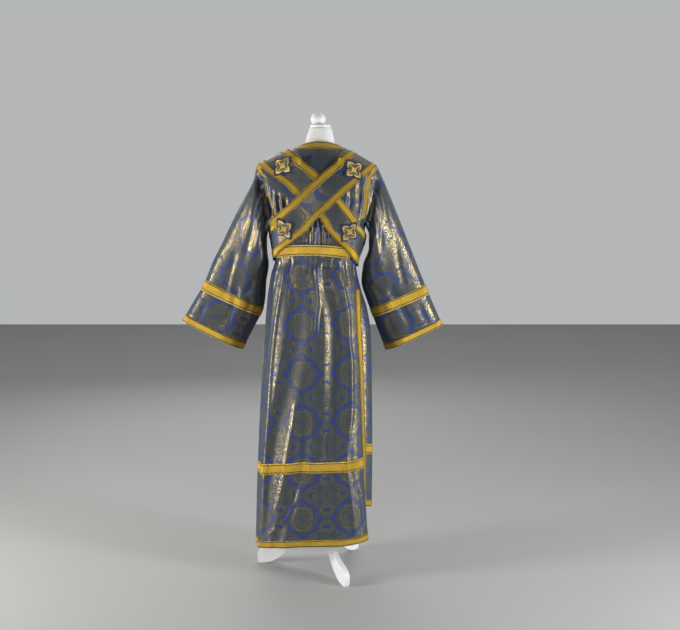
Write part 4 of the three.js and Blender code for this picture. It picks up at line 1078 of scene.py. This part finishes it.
def square_places(stretch, cross, x, y):
    """Shares along and across of points x and y millimetres from a cross's middle, in a square frame."""
    fine = np.linspace(0, 1, 801)
    line = stretch.points(fine, np.full_like(fine, 0.5))[0]
    lengths = lengths_along(line)
    start = np.array([np.interp(cross.along * lengths[-1], lengths, fine)])
    middle = np.array([cross.across])
    step = 0.01

    def at(along, across):
        return stretch.points(along, across)[0]

    centre, normal = stretch.points(start, middle)
    run = unit(at(start + step, middle) - at(start - step, middle))
    side = unit(np.cross(normal, run))
    side = side * np.sign(np.sum(side * (at(start, middle + step) - centre)))
    wanted = centre + x[..., None] * run + y[..., None] * side
    along = np.full(x.shape, start[0])
    across = np.full(x.shape, middle[0])
    for _ in range(6):
        here = at(along, across)
        by_along = (at(along + step, across) - here) / step
        by_across = (at(along, across + step) - here) / step
        off = wanted - here
        along_along = np.sum(by_along * by_along, axis=-1)
        both = np.sum(by_along * by_across, axis=-1)
        across_across = np.sum(by_across * by_across, axis=-1)
        need_along = np.sum(off * by_along, axis=-1)
        need_across = np.sum(off * by_across, axis=-1)
        spread = along_along * across_across - both * both
        along = along + (need_along * across_across - need_across * both) / spread
        across = across + (need_across * along_along - need_along * both) / spread
    return along, across


def make_cross(cross):
    """A sewn cross: a corded edge, raised petals that are hollowed along their middle, and a boss."""
    stretch = stretches[cross.stretch]
    angle = np.linspace(0, 2 * np.pi, 97)[:-1]
    ring = CROSS_RINGS[:, None]
    radius = cross_radius(angle)[None, :] * ring / 2
    x, y = radius * np.cos(angle) * CROSS_ALONG, radius * np.sin(angle) * CROSS_ACROSS
    along, across = square_places(stretch, cross, x, y)
    petal = np.abs(np.cos(2 * angle))[None, :] ** 1.2
    cord = 1.5 * bell((ring - 0.93) / 0.075)
    leaf = 1.7 * smooth((0.87 - ring) / 0.1) * mix(0.45, 1, petal) - 0.8 * bell((ring - 0.5) / 0.22) * petal
    boss = 0.9 * bell(ring / 0.2)
    height = cross.lift + CROSS_WALL + np.where(ring > 0.985, -0.9, 0) + cord + leaf + boss
    points, normals = stretch.points(along, across, ORARION_WALL + height)
    angle_uv = np.concatenate([angle, [2 * np.pi]])
    uv = np.stack(np.broadcast_arrays(angle_uv[None, :] / (2 * np.pi), ring), -1)
    points, uv = turned_out(points, uv, normals)
    finish = [finishes["embroidery"]]
    made = sheet_object(f"{cross.name}_embroidery", points, uv, CROSS_WALL, finish, ring=True)
    settle(made, cross.name, area=area_of(points, True))


def make_form():
    """The form's body: smooth rings from its base, over its shoulders, to the top of its neck."""
    sides = 96
    rows = [(r.left, 0, r.z, r.right, 0, r.z, r.back, r.front) for r in FORM_BODY]
    for shoulder in FORM_SHOULDERS:
        ends = []
        for tip, direction in ((SHOULDER_LEFT, -1), (SHOULDER_RIGHT, 1)):
            start = NECK.x + direction * NECK.half
            drop = (NECK.z - tip.z) * shoulder.share ** SHOULDER_DROOP
            rise = SHOULDER_DROOP * (NECK.z - tip.z) * shoulder.share ** (SHOULDER_DROOP - 1)
            slope = direction * rise / abs(tip.x - start)
            under = unit(np.array([-slope, 0, -1.0])) * (CLOTH + FORM_CLEARANCE)
            ends += [mix(start, tip.x, shoulder.share) + under[0], 0, NECK.z - drop + under[2]]
        rows.append((*ends, shoulder.back, shoulder.front))
    rows += [(r.left, 0, r.z, r.right, 0, r.z, r.back, r.front) for r in FORM_NECK]
    table = np.array(rows, float)
    place = np.arange(len(table))
    spread = np.interp(np.linspace(0, 1, 101), np.linspace(0, 1, len(table)), place)
    at = [curve(list(zip(place, table[:, n]))) for n in range(table.shape[1])]
    left_x, _, left_z, right_x, _, right_z, back, front = (f(spread)[:, None] for f in at)
    angle = np.linspace(0, 2 * np.pi, sides + 1)[:-1][None, :]
    t = 0.5 + 0.5 * np.sin(angle)
    depth = np.where(np.cos(angle) > 0, back, front)
    points = np.stack([mix(left_x, right_x, t), -depth * np.cos(angle), mix(left_z, right_z, t)], -1)[::-1]
    uv = np.stack(np.meshgrid(np.linspace(0, 1, sides + 1), np.linspace(1, 0, len(points))), -1)
    made = sheet_object("form_torso_cover", points, uv, 0, [finishes["form_cover"]], ring=True)
    mesh = made.data
    bpy.ops.object.select_all(action="DESELECT")
    bpy.context.view_layer.objects.active = made
    made.select_set(True)
    bpy.ops.object.mode_set(mode="EDIT")
    bpy.ops.mesh.select_all(action="DESELECT")
    bpy.ops.mesh.select_non_manifold()
    bpy.ops.mesh.edge_face_add()
    bpy.ops.mesh.select_all(action="SELECT")
    bpy.ops.mesh.normals_make_consistent(inside=False)
    bpy.ops.object.mode_set(mode="OBJECT")
    mesh.shade_smooth()
    stand_for(made, "form_torso")


def turn_piece(node, x, profile, sides=56):
    """A wooden piece turned on an upright axis: a disc extruded up and scaled at each step of its profile."""
    bpy.ops.object.select_all(action="DESELECT")
    centre = ((x + POLE_AXIS[0]) * MM, POLE_AXIS[1] * MM)
    radius, height = profile[0]
    bpy.ops.mesh.primitive_circle_add(
        vertices=sides, radius=radius * MM, fill_type="NGON", location=(*centre, height * MM))
    made = bpy.context.object
    made.name = f"{node}_wood"
    bpy.ops.object.transform_apply(location=True, rotation=True, scale=True)
    bpy.ops.object.mode_set(mode="EDIT")
    bpy.ops.mesh.select_all(action="SELECT")
    for radius, height in profile[1:]:
        step = height * MM - made_top(made)
        bpy.ops.mesh.extrude_region_move(TRANSFORM_OT_translate={"value": (0, 0, step)})
        ratio = radius * MM / made_rim(made, centre)
        bpy.ops.transform.resize(value=(ratio, ratio, 1), center_override=(*centre, height * MM))
    bpy.ops.mesh.select_all(action="SELECT")
    bpy.ops.mesh.normals_make_consistent(inside=False)
    bpy.ops.object.mode_set(mode="OBJECT")
    bpy.ops.object.shade_smooth_by_angle(angle=math.radians(50))
    made.data.materials.append(finishes["white_wood"])
    stand_for(made, node)


def made_top(made):
    """Height of the face that is selected in edit mode."""
    made.update_from_editmode()
    return max(v.co.z for v in made.data.vertices if v.select)


def made_rim(made, centre):
    """Radius of the face that is selected in edit mode."""
    made.update_from_editmode()
    return max(math.hypot(v.co.x - centre[0], v.co.y - centre[1]) for v in made.data.vertices if v.select)


def make_turnings():
    """The neck cap and the knob on it."""
    cap = NECK_CAP
    turn_piece("neck_cap", cap.x, [
        (cap.radius - 1, cap.bottom), (cap.radius, cap.bottom + 1), (cap.radius, cap.top - 3.5),
        (cap.radius - 1.2, cap.top - 1.2), (cap.radius - 4, cap.top - 0.2), (cap.radius - 8, cap.top),
    ])
    profile = [(KNOB_STEM, KNOB.bottom), (KNOB_STEM, KNOB.bottom + 1.2)]
    squash = KNOB.radius * 0.86
    for k in range(15):
        angle = mix(-0.28, 0.492, k / 14) * math.pi
        radius = max(KNOB.radius * math.cos(angle), 0.6)
        profile.append((radius, KNOB.top - squash + squash * math.sin(angle)))
    turn_piece("neck_knob", KNOB.x, profile)


class Value:
    """One socket of a material's nodes: Python's own operators add its Math nodes."""

    def __init__(self, finish, socket):
        self.finish = finish
        self.socket = socket

    def maths(self, operation, *inputs):
        return self.finish.node("Math", {"operation": operation}, dict(enumerate(inputs)))

    def __add__(self, other):
        return self.maths("ADD", self, other)

    __radd__ = __add__

    def __sub__(self, other):
        return self.maths("SUBTRACT", self, other)

    def __rsub__(self, other):
        return self.maths("SUBTRACT", other, self)

    def __mul__(self, other):
        return self.maths("MULTIPLY", self, other)

    __rmul__ = __mul__

    def __truediv__(self, other):
        return self.maths("DIVIDE", self, other)

    def __pow__(self, other):
        return self.maths("POWER", self, other)

    def __abs__(self):
        return self.maths("ABSOLUTE", self)

    def most(self, other):
        return self.maths("MAXIMUM", self, other)

    def least(self, other):
        return self.maths("MINIMUM", self, other)

    def wave(self):
        """1 at each whole number, -1 halfway between."""
        return self.maths("COSINE", self * (2 * math.pi))

    def rise(self, low, high):
        """0 below low, 1 above high, smooth between. A fall where high is the lower."""
        return self.finish.node("MapRange", {"interpolation_type": "SMOOTHSTEP", "clamp": True}, {
            "Value": self, "From Min": float(low), "From Max": float(high), "To Min": 0.0, "To Max": 1.0})


class Finish:
    """A material in the making."""

    def __init__(self, name):
        self.material = bpy.data.materials.new(name)
        self.material.use_nodes = True
        self.tree = self.material.node_tree
        self.tree.nodes.clear()
        finishes[name] = self.material

    def node(self, kind, settings=None, inputs=None, output=0):
        """Any node: its settings first, then the values or links of its sockets."""
        made = self.tree.nodes.new(f"ShaderNode{kind}")
        for key, value in (settings or {}).items():
            setattr(made, key, value)
        for key, value in (inputs or {}).items():
            socket = made.inputs[key]
            if isinstance(value, Value):
                self.tree.links.new(value.socket, socket)
            else:
                socket.default_value = value
        return Value(self, made.outputs[output])

    def colour(self, factor, low, high):
        """One colour going over to another."""
        return self.node("Mix", {"data_type": "RGBA"}, {0: factor, 6: low, 7: high}, output=2)

    def place(self):
        """The two directions of the cloth's own UV map."""
        uv = self.node("UVMap", {"uv_map": "weave"})
        parts = self.tree.nodes.new("ShaderNodeSeparateXYZ")
        self.tree.links.new(uv.socket, parts.inputs[0])
        return Value(self, parts.outputs[0]), Value(self, parts.outputs[1])

    def vector(self, x, y, z=0.0):
        return self.node("CombineXYZ", None, {0: x, 1: y, 2: z})

    def noise(self, vector, scale, detail=2.0, roughness=0.5):
        return self.node("TexNoise", None, {
            "Vector": vector, "Scale": scale, "Detail": detail, "Roughness": roughness})

    def cells(self, vector, scale, randomness=1.0, feature="F1"):
        return self.node("TexVoronoi", {"feature": feature}, {
            "Vector": vector, "Scale": scale, "Randomness": randomness})

    def bump(self, height, strength, distance):
        return self.node("Bump", None, {"Height": height, "Strength": strength, "Distance": distance})

    def surface(self, **sockets):
        inputs = {key.replace("_", " "): value for key, value in sockets.items()}
        return self.node("BsdfPrincipled", None, inputs)

    def mixed(self, factor, low, high):
        return self.node("MixShader", None, {0: factor, 1: low, 2: high})

    def done(self, surface):
        out = self.tree.nodes.new("ShaderNodeOutputMaterial")
        self.tree.links.new(surface.socket, out.inputs["Surface"])
        return self.material


def rgb(colour):
    return (*colour, 1.0)


def make_brocade(looks):
    """Slate silk with gold thread and a trellis of blue bands, each with a row of gold dots."""
    f = Finish("brocade")
    u, v = f.place()
    px = u.maths("PINGPONG", u, 0.5)
    py = v.maths("PINGPONG", v, 0.5)
    hi, lo = px.most(py), px.least(py)

    def length(x, y):
        return (x * x + y * y) ** 0.5

    # four round lobes, whose ends meet those of the next repeat
    edge_x, edge_y = hi - 0.199, lo + 0.105
    line = length(edge_x, edge_y) - 0.359
    off = abs(line)
    band = off.rise(0.029, 0.022)
    turned = edge_x.maths("ARCTAN2", edge_y, edge_x)
    dots = (turned * 10.0).wave().rise(0.0, 0.5) * off.rise(0.011, 0.007)
    rim = off.rise(0.029, 0.033) * off.rise(0.042, 0.037)
    # scrolls, mirrored as the loom does
    mirrored = f.vector(px, py)
    swirl = f.cells(mirrored, 15.0)
    curls = (swirl * 2.4).wave().rise(0.0, 0.4)
    fine = f.cells(mirrored, 40.0)
    grains = fine.rise(0.38, 0.2)
    # the medallion between the trellis's bands
    mx, my = (0.5 - px) * 1.14, 0.5 - py
    reach = length(mx, my)
    ray = my.maths("ARCTAN2", my, mx)
    petals = (ray * (8 / (2 * math.pi))).wave()
    scalloped = reach + petals * 0.011
    inside = line.rise(0.036, 0.042)
    medallion = scalloped.rise(0.262, 0.254) * inside
    medal_rim = scalloped.rise(0.262, 0.256) * scalloped.rise(0.232, 0.24) * inside
    rosette = (reach * 13.0 + petals * 0.22).wave().rise(-0.15, 0.5)
    medal = (rosette * 0.55 + curls * 0.45) * medallion
    # the rosette in each lobe, with its blue fleur
    lobe_x = hi - 0.318
    lobe = length(lobe_x, lo)
    lobe_ray = lo.maths("ARCTAN2", lo, lobe_x)
    scallop = (lobe_ray * (7 / (2 * math.pi))).wave()
    in_lobe = (lobe + scallop * 0.008).rise(0.135, 0.125)
    lobe_rim = (lobe + scallop * 0.01 - 0.122)
    lobe_rim = abs(lobe_rim).rise(0.012, 0.006)
    fleur = abs(lobe_x + lo * 0.75 - 0.018).rise(0.024, 0.017) * lo.rise(0.058, 0.05)
    centre = length(hi, lo)
    middle = (centre * 16.0 + petals * 0.2).wave().rise(0.1, 0.6) * centre.rise(0.15, 0.12)

    scroll = curls * 0.5 + grains * 0.4
    gold = scroll * 0.8 + 0.04
    gold = gold.most(medal * 0.8 * medallion + grains * medallion * 0.25).most(medal_rim * 0.8)
    gold = gold.most((curls * 0.65 + 0.1) * in_lobe).most(lobe_rim * 0.7).most(middle * 0.6)
    gold = gold * (1 - fleur) * (1 - band)
    gold = gold.most(dots * 0.7).most(rim * 0.6)
    gold = gold.least(1.0)
    blue = band.most(fleur) * (1 - dots)

    # threads: the weave's own lines, at their real pitch
    weft = (v * 270.0).wave()
    warp = (u * 170.0).wave()
    thread = weft * 0.5 + warp * 0.5
    cloudy = f.noise(f.vector(u, v), 3.2, 3.0)
    glints = f.noise(f.vector(u, v), 27.0, 2.0).rise(0.42, 0.6)
    silk = f.colour(cloudy, rgb(looks.silk_dark), rgb(looks.silk))
    silk = f.colour(gold, silk, rgb(looks.thread_shade))
    silk = f.colour(blue, silk, rgb(looks.trellis))
    height = gold * 0.7 + thread * 0.12 + blue * 0.35
    raised = f.bump(height, 0.35, 0.0005)
    ground = f.surface(Base_Color=silk, Roughness=0.5, Specular_IOR_Level=0.35, Normal=raised)
    tint = f.colour(cloudy, rgb(looks.thread), rgb(looks.thread_pale))
    metal = f.surface(Base_Color=tint, Metallic=1.0, Roughness=0.25, Normal=raised)
    f.done(f.mixed(((gold * 0.33 + 0.02) * (glints * 0.85 + 0.15) - blue * 0.01).least(1.0), ground, metal))


def make_lining(looks):
    """The plain satin that the brocade is lined with."""
    f = Finish("lining")
    u, v = f.place()
    rows = (v * 240.0).wave()
    shade = f.noise(f.vector(u, v), 4.0, 3.0)
    tone = f.colour(shade, rgb(looks.lining), rgb([c * 1.5 for c in looks.lining]))
    f.done(f.surface(Base_Color=tone, Roughness=0.5, Sheen_Weight=0.15, Normal=f.bump(rows, 0.2, 0.0005)))


def make_braid(name, width, looks):
    """Woven gold braid: fine ribs across it, a dark dashed line inside each edge, and a pale selvedge."""
    f = Finish(name)
    u, v = f.place()
    inset = v.maths("PINGPONG", v, 0.5) * width
    along = u * width
    line_at = 5.2 if width > 30 else 2.8
    dashes = (along / 6.5).wave().rise(-0.9, -0.55)
    line = abs(inset - line_at).rise(2.2, 1.6) * dashes
    selvedge = inset.rise(line_at - 1.5, line_at - 2.1)
    ribs = (along / 1.9).wave()
    chevron = (along / 7.5 + inset / 9.0).wave()
    worn = f.noise(f.vector(u, v), 5.0, 4.0)
    tone = f.colour(worn, rgb(looks.braid_dark), rgb(looks.braid))
    tone = f.colour(selvedge * 0.6, tone, rgb(looks.braid_pale))
    tone = f.colour((chevron * 0.5 + 0.5) * 0.16, tone, rgb(looks.braid_dark))
    tone = f.colour(line, tone, rgb(looks.braid_line))
    height = ribs * 0.4 + chevron * 0.15 + (1 - line) * 0.8
    raised = f.bump(height, 0.6, 0.0008)
    patches = f.noise(f.vector(u, v), 0.7, 2.0).rise(0.35, 0.65)
    tone = f.colour(patches * 0.5 * (1 - line), tone, rgb(looks.braid_dark))
    woven = f.surface(Base_Color=tone, Roughness=0.6, Specular_IOR_Level=0.25, Normal=raised)
    metal = f.surface(Base_Color=tone, Metallic=1.0, Roughness=0.38, Normal=raised)
    f.done(f.mixed((0.3 + ribs * 0.08) * (1 - line), woven, metal))


def make_embroidery(looks):
    """Gold petals laid in stitches on dark blue, inside a dark blue cord. V is 1 at the cross's edge."""
    f = Finish("embroidery")
    u, v = f.place()
    off = abs((u * 4.0).maths("PINGPONG", u * 4.0, 0.5))
    cord = v.rise(0.77, 0.8)
    gold_rim = v.rise(0.58, 0.61) * (1 - cord)
    vein = v.rise(0.27, 0.31) * v.rise(0.56, 0.53)
    spoke = off.rise(0.07, 0.04)
    core = v.rise(0.3, 0.26)
    gap = off.rise(0.34, 0.42)
    gold = (gold_rim + core * 0.95 + vein * spoke).least(1.0) * (1 - gap * 0.75 * (1 - core))
    stitches = (u * 150.0 + v * 20.0).wave()
    twist = (u * 110.0 - v * 30.0).wave()
    tone = f.colour(vein * (1 - spoke), rgb(looks.cross_blue), rgb(looks.cross_inside))
    tone = f.colour(gold, tone, rgb(looks.cross_gold))
    height = stitches * 0.35 * (1 - cord) + twist * 0.5 * cord
    raised = f.bump(height, 0.6, 0.0009)
    thread = f.surface(Base_Color=tone, Roughness=0.48, Sheen_Weight=0.1, Normal=raised)
    metal = f.surface(Base_Color=tone, Metallic=1.0, Roughness=0.34, Normal=raised)
    f.done(f.mixed(gold * 0.55, thread, metal))


def make_form_cover(looks):
    """White stretch cover, with a fine knit and the marks of handling."""
    f = Finish("form_cover")
    where = f.node("TexCoord", None, None, output=3)
    knit = f.noise(where, 900.0, 2.0)
    marks = f.noise(where, 9.0, 4.0)
    tone = f.colour(marks, rgb(looks.cover), rgb([c * 0.9 for c in looks.cover]))
    f.done(f.surface(Base_Color=tone, Roughness=0.85, Sheen_Weight=0.2, Normal=f.bump(knit, 0.3, 0.0006)))


def make_white_wood(looks):
    """Satin white paint over wood, the grain just showing through."""
    f = Finish("white_wood")
    where = f.node("TexCoord", None, None, output=3)
    stretched = f.node("Mapping", None, {"Vector": where, "Scale": (40.0, 40.0, 6.0)})
    grain = f.noise(stretched, 3.0, 6.0)
    rubbed = f.noise(where, 30.0, 3.0)
    tone = f.colour(rubbed, rgb(looks.paint), rgb([c * 0.93 for c in looks.paint]))
    f.done(f.surface(Base_Color=tone, Roughness=grain * 0.2 + 0.34, Coat_Weight=0.15,
                     Normal=f.bump(grain, 0.25, 0.0008)))


def make_floor_paint(looks):
    f = Finish("floor_paint")
    where = f.node("TexCoord", None, None, output=3)
    tone = f.colour(f.noise(where, 1.4, 3.0), rgb(looks.floor), rgb([c * 0.94 for c in looks.floor]))
    f.done(f.surface(Base_Color=tone, Roughness=0.75))


def light_room(world):
    """A plain grey room: paler behind the robe's front, dimmer behind the camera."""
    tree = world.node_tree
    where = tree.nodes.new("ShaderNodeTexCoord")
    parts = tree.nodes.new("ShaderNodeSeparateXYZ")
    tree.links.new(where.outputs["Object"], parts.inputs[0])
    ramp = tree.nodes.new("ShaderNodeMapRange")
    ramp.interpolation_type = "SMOOTHSTEP"
    tree.links.new(parts.outputs["Y"], ramp.inputs["Value"])
    for key, value in (("From Min", -0.25), ("From Max", 0.55), ("To Min", 0.06), ("To Max", 0.48)):
        ramp.inputs[key].default_value = value
    background = tree.nodes["Background"]
    background.inputs["Color"].default_value = (0.96, 0.98, 1.0, 1)
    tree.links.new(ramp.outputs["Result"], background.inputs["Strength"])


def colour_setting(name, text, default):
    return bpy.props.FloatVectorProperty(
        name=name, description=text, subtype="COLOR", size=3, min=0, max=1, default=default)


def power_setting(name, text, watts):
    return bpy.props.FloatProperty(name=name, description=text, default=watts, min=0)


class VestmentLooks(bpy.types.PropertyGroup):
    """Colours of the cloths, the braids and the stand."""

    silk: colour_setting("Silk", "The brocade's slate ground where it is lighter", (0.019, 0.046, 0.085))
    silk_dark: colour_setting("Silk, dark", "The brocade's ground where it is darker", (0.011, 0.028, 0.055))
    trellis: colour_setting("Trellis", "The blue bands woven through the brocade", (0.006, 0.032, 0.22))
    thread: colour_setting("Gold thread", "The brocade's gold thread", (0.72, 0.53, 0.2))
    thread_pale: colour_setting("Gold thread, pale", "The gold thread where it is rubbed", (0.8, 0.64, 0.27))
    thread_shade: colour_setting("Gold thread, shade", "The gold thread's core", (0.088, 0.08, 0.055))
    lining: colour_setting("Lining", "The satin inside the robe", (0.02, 0.035, 0.09))
    braid: colour_setting("Braid", "The gold braid's field", (0.6, 0.38, 0.035))
    braid_dark: colour_setting("Braid, dark", "The gold braid where it is duller", (0.38, 0.235, 0.022))
    braid_pale: colour_setting("Braid's selvedge", "The thin outer edge of the braid", (0.8, 0.62, 0.16))
    braid_line: colour_setting("Braid's line", "The dashed line by its edges", (0.012, 0.012, 0.02))
    cross_gold: colour_setting("Cross, gold", "The gold thread of the sewn crosses", (0.6, 0.45, 0.1))
    cross_blue: colour_setting("Cross, cord", "The dark blue cord round the crosses", (0.006, 0.011, 0.085))
    cross_inside: colour_setting("Cross, inside", "The darker thread inside each petal", (0.1, 0.07, 0.03))
    cover: colour_setting("Form's cover", "The dress form's stretch cover", (0.8, 0.79, 0.76))
    paint: colour_setting("Paint", "The stand's white paint", (0.82, 0.82, 0.82))
    floor: colour_setting("Floor", "The plain pale floor", (0.4, 0.4, 0.39))


class VestmentSizes(bpy.types.PropertyGroup):
    """Sizes that a user would change."""

    key_power: power_setting("Key light", "Watts of the light on the left", 84.0)
    fill_power: power_setting("Fill light", "Watts of the light on the right", 80.0)
    camera_distance: bpy.props.FloatProperty(
        name="Camera distance", description="How far the camera stands from the pole",
        default=3.25, min=1, unit="LENGTH")


class VESTMENT_OT_stage(bpy.types.Operator):
    """Sets up the camera at the photograph's angle, the pale floor and the studio lights"""

    bl_idname = "vestment.stage"
    bl_label = "Stage"

    def execute(self, context):
        scene = context.scene
        sizes = scene.vestment_sizes
        make_floor_paint(scene.vestment_looks)
        bpy.ops.object.select_all(action="DESELECT")
        bpy.ops.mesh.primitive_plane_add(size=14, location=(0, 0, 0))
        floor = context.object
        floor.name = "floor"
        floor.data.materials.append(finishes["floor_paint"])
        data = bpy.data.cameras.new("photo_camera")
        data.sensor_fit = "HORIZONTAL"
        data.sensor_width = 36
        data.lens = FOCAL_PIXELS / PHOTO_PIXELS * data.sensor_width
        data.dof.use_dof = False
        camera = bpy.data.objects.new("photo_camera", data)
        pole_x, pole_y = POLE_AXIS[:2] * MM
        camera.location = (CAMERA_ASIDE + pole_x, pole_y - sizes.camera_distance, CAMERA_HEIGHT)
        camera.rotation_euler = (math.radians(90 - CAMERA_TILT), 0, 0)
        scene.collection.objects.link(camera)
        scene.camera = camera
        lights = (
            ("key", (-2.6, -0.75, 0.95), sizes.key_power, 0.6, 1.9, (1.0, 0.985, 0.96)),
            ("fill", (2.5, -1.25, 0.95), sizes.fill_power, 0.5, 1.9, (0.97, 0.985, 1.0)),
            ("front", (-0.5, -3.4, 1.7), 14.0, 0.4, 1.6, (1.0, 1.0, 1.0)),
            ("top", (0.2, 2.6, 5.0), 88.0, 8.0, 8.0, (1.0, 1.0, 1.0)),
            ("rear", (-0.6, 3.0, 2.2), 30.0, 2.0, 1.6, (1.0, 1.0, 1.0)),
        )
        for name, spot, power, wide, high, colour in lights:
            lamp = bpy.data.lights.new(name, "AREA")
            lamp.shape = "RECTANGLE"
            lamp.size, lamp.size_y = wide, high
            lamp.energy = power
            lamp.color = colour
            holder = bpy.data.objects.new(name, lamp)
            holder.location = spot
            aim = Vector((0, spot[1] if name == "top" else 0, 0.95)) - Vector(spot)
            holder.rotation_euler = aim.to_track_quat("-Z", "Y").to_euler()
            scene.collection.objects.link(holder)
        scene.view_settings.view_transform = "Standard"
        world = bpy.data.worlds.new("studio")
        world.use_nodes = True
        light_room(world)
        scene.world = world
        return {"FINISHED"}


class VESTMENT_OT_finishes(bpy.types.Operator):
    """Makes the materials of the cloths, the braids and the stand"""

    bl_idname = "vestment.finishes"
    bl_label = "Cloths and paints"

    def execute(self, context):
        looks = context.scene.vestment_looks
        make_brocade(looks)
        make_lining(looks)
        make_braid("wide_braid", WIDE_BRAID, looks)
        make_braid("narrow_braid", NARROW_BRAID, looks)
        make_embroidery(looks)
        make_form_cover(looks)
        make_white_wood(looks)
        return {"FINISHED"}


class VESTMENT_OT_panels(bpy.types.Operator):
    """Hangs the robe's back and front panels, with the braids sewn on them"""

    bl_idname = "vestment.panels"
    bl_label = "Back and front panels"

    def execute(self, context):
        make_panel("back")
        make_panel("front")
        return {"FINISHED"}


class VESTMENT_OT_sleeves(bpy.types.Operator):
    """Hangs the two wide sleeves, each with its band and its cuff's braid"""

    bl_idname = "vestment.sleeves"
    bl_label = "Sleeves"

    def execute(self, context):
        make_sleeve("sleeve_left", SLEEVE_LEFT, LEFT_SLEEVE_CREASES, "left", 17)
        make_sleeve("sleeve_right", SLEEVE_RIGHT, RIGHT_SLEEVE_CREASES, "right", 11)
        return {"FINISHED"}


class VESTMENT_OT_orarion(bpy.types.Operator):
    """Ties the orarion over the robe: crossed on the back, round the front and down in two ends"""

    bl_idname = "vestment.orarion"
    bl_label = "Orarion"

    def execute(self, context):
        make_ribbon()
        make_stretch("orarion_back_left", ORARION_BACK_LEFT, "left", 130)
        make_stretch("orarion_back_right", ORARION_BACK_RIGHT, "right", 130)
        make_stretch("orarion_front_right", ORARION_FRONT_RIGHT, "front", 120)
        make_stretch("orarion_front_left", ORARION_FRONT_LEFT, "front", 120)
        make_stretch("orarion_girdle", ORARION_GIRDLE, "girdle", 110)
        return {"FINISHED"}


class VESTMENT_OT_crosses(bpy.types.Operator):
    """Sews the four crosses on the orarion's back"""

    bl_idname = "vestment.crosses"
    bl_label = "Crosses"

    def execute(self, context):
        for cross in CROSSES:
            make_cross(cross)
        return {"FINISHED"}


class VESTMENT_OT_stand(bpy.types.Operator):
    """Makes the dress form, its cap and knob, and paints the pole and the legs"""

    bl_idname = "vestment.stand"
    bl_label = "Dress form and stand"

    def execute(self, context):
        make_form()
        make_turnings()
        for node in ("pole", "leg_hub", "leg_left", "leg_far", "leg_near"):
            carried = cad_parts[node]
            carried.data.materials.clear()
            carried.data.materials.append(finishes["white_wood"])
        return {"FINISHED"}


class VESTMENT_PT_panel(bpy.types.Panel):
    """The vestment's pieces, colours and sizes"""

    bl_label = "Vestment"
    bl_idname = "VESTMENT_PT_panel"
    bl_space_type = "VIEW_3D"
    bl_region_type = "UI"
    bl_category = "Vestment"

    def draw(self, context):
        for operator in STEPS:
            self.layout.operator(operator.bl_idname)
        for group in (context.scene.vestment_sizes, context.scene.vestment_looks):
            box = self.layout.box()
            for name in group.__annotations__:
                box.prop(group, name)


STEPS = (
    VESTMENT_OT_stage,
    VESTMENT_OT_finishes,
    VESTMENT_OT_stand,
    VESTMENT_OT_panels,
    VESTMENT_OT_sleeves,
    VESTMENT_OT_orarion,
    VESTMENT_OT_crosses,
)
CLASSES = (VestmentLooks, VestmentSizes, *STEPS, VESTMENT_PT_panel)


def register():
    for kind in CLASSES:
        bpy.utils.register_class(kind)
    bpy.types.Scene.vestment_looks = bpy.props.PointerProperty(type=VestmentLooks)
    bpy.types.Scene.vestment_sizes = bpy.props.PointerProperty(type=VestmentSizes)


def unregister():
    del bpy.types.Scene.vestment_sizes
    del bpy.types.Scene.vestment_looks
    for kind in reversed(CLASSES):
        bpy.utils.unregister_class(kind)


def main():
    register()
    for step in STEPS:
        group, name = step.bl_idname.split(".")
        getattr(getattr(bpy.ops, group), name)()


if __name__ == "__main__":
    main()
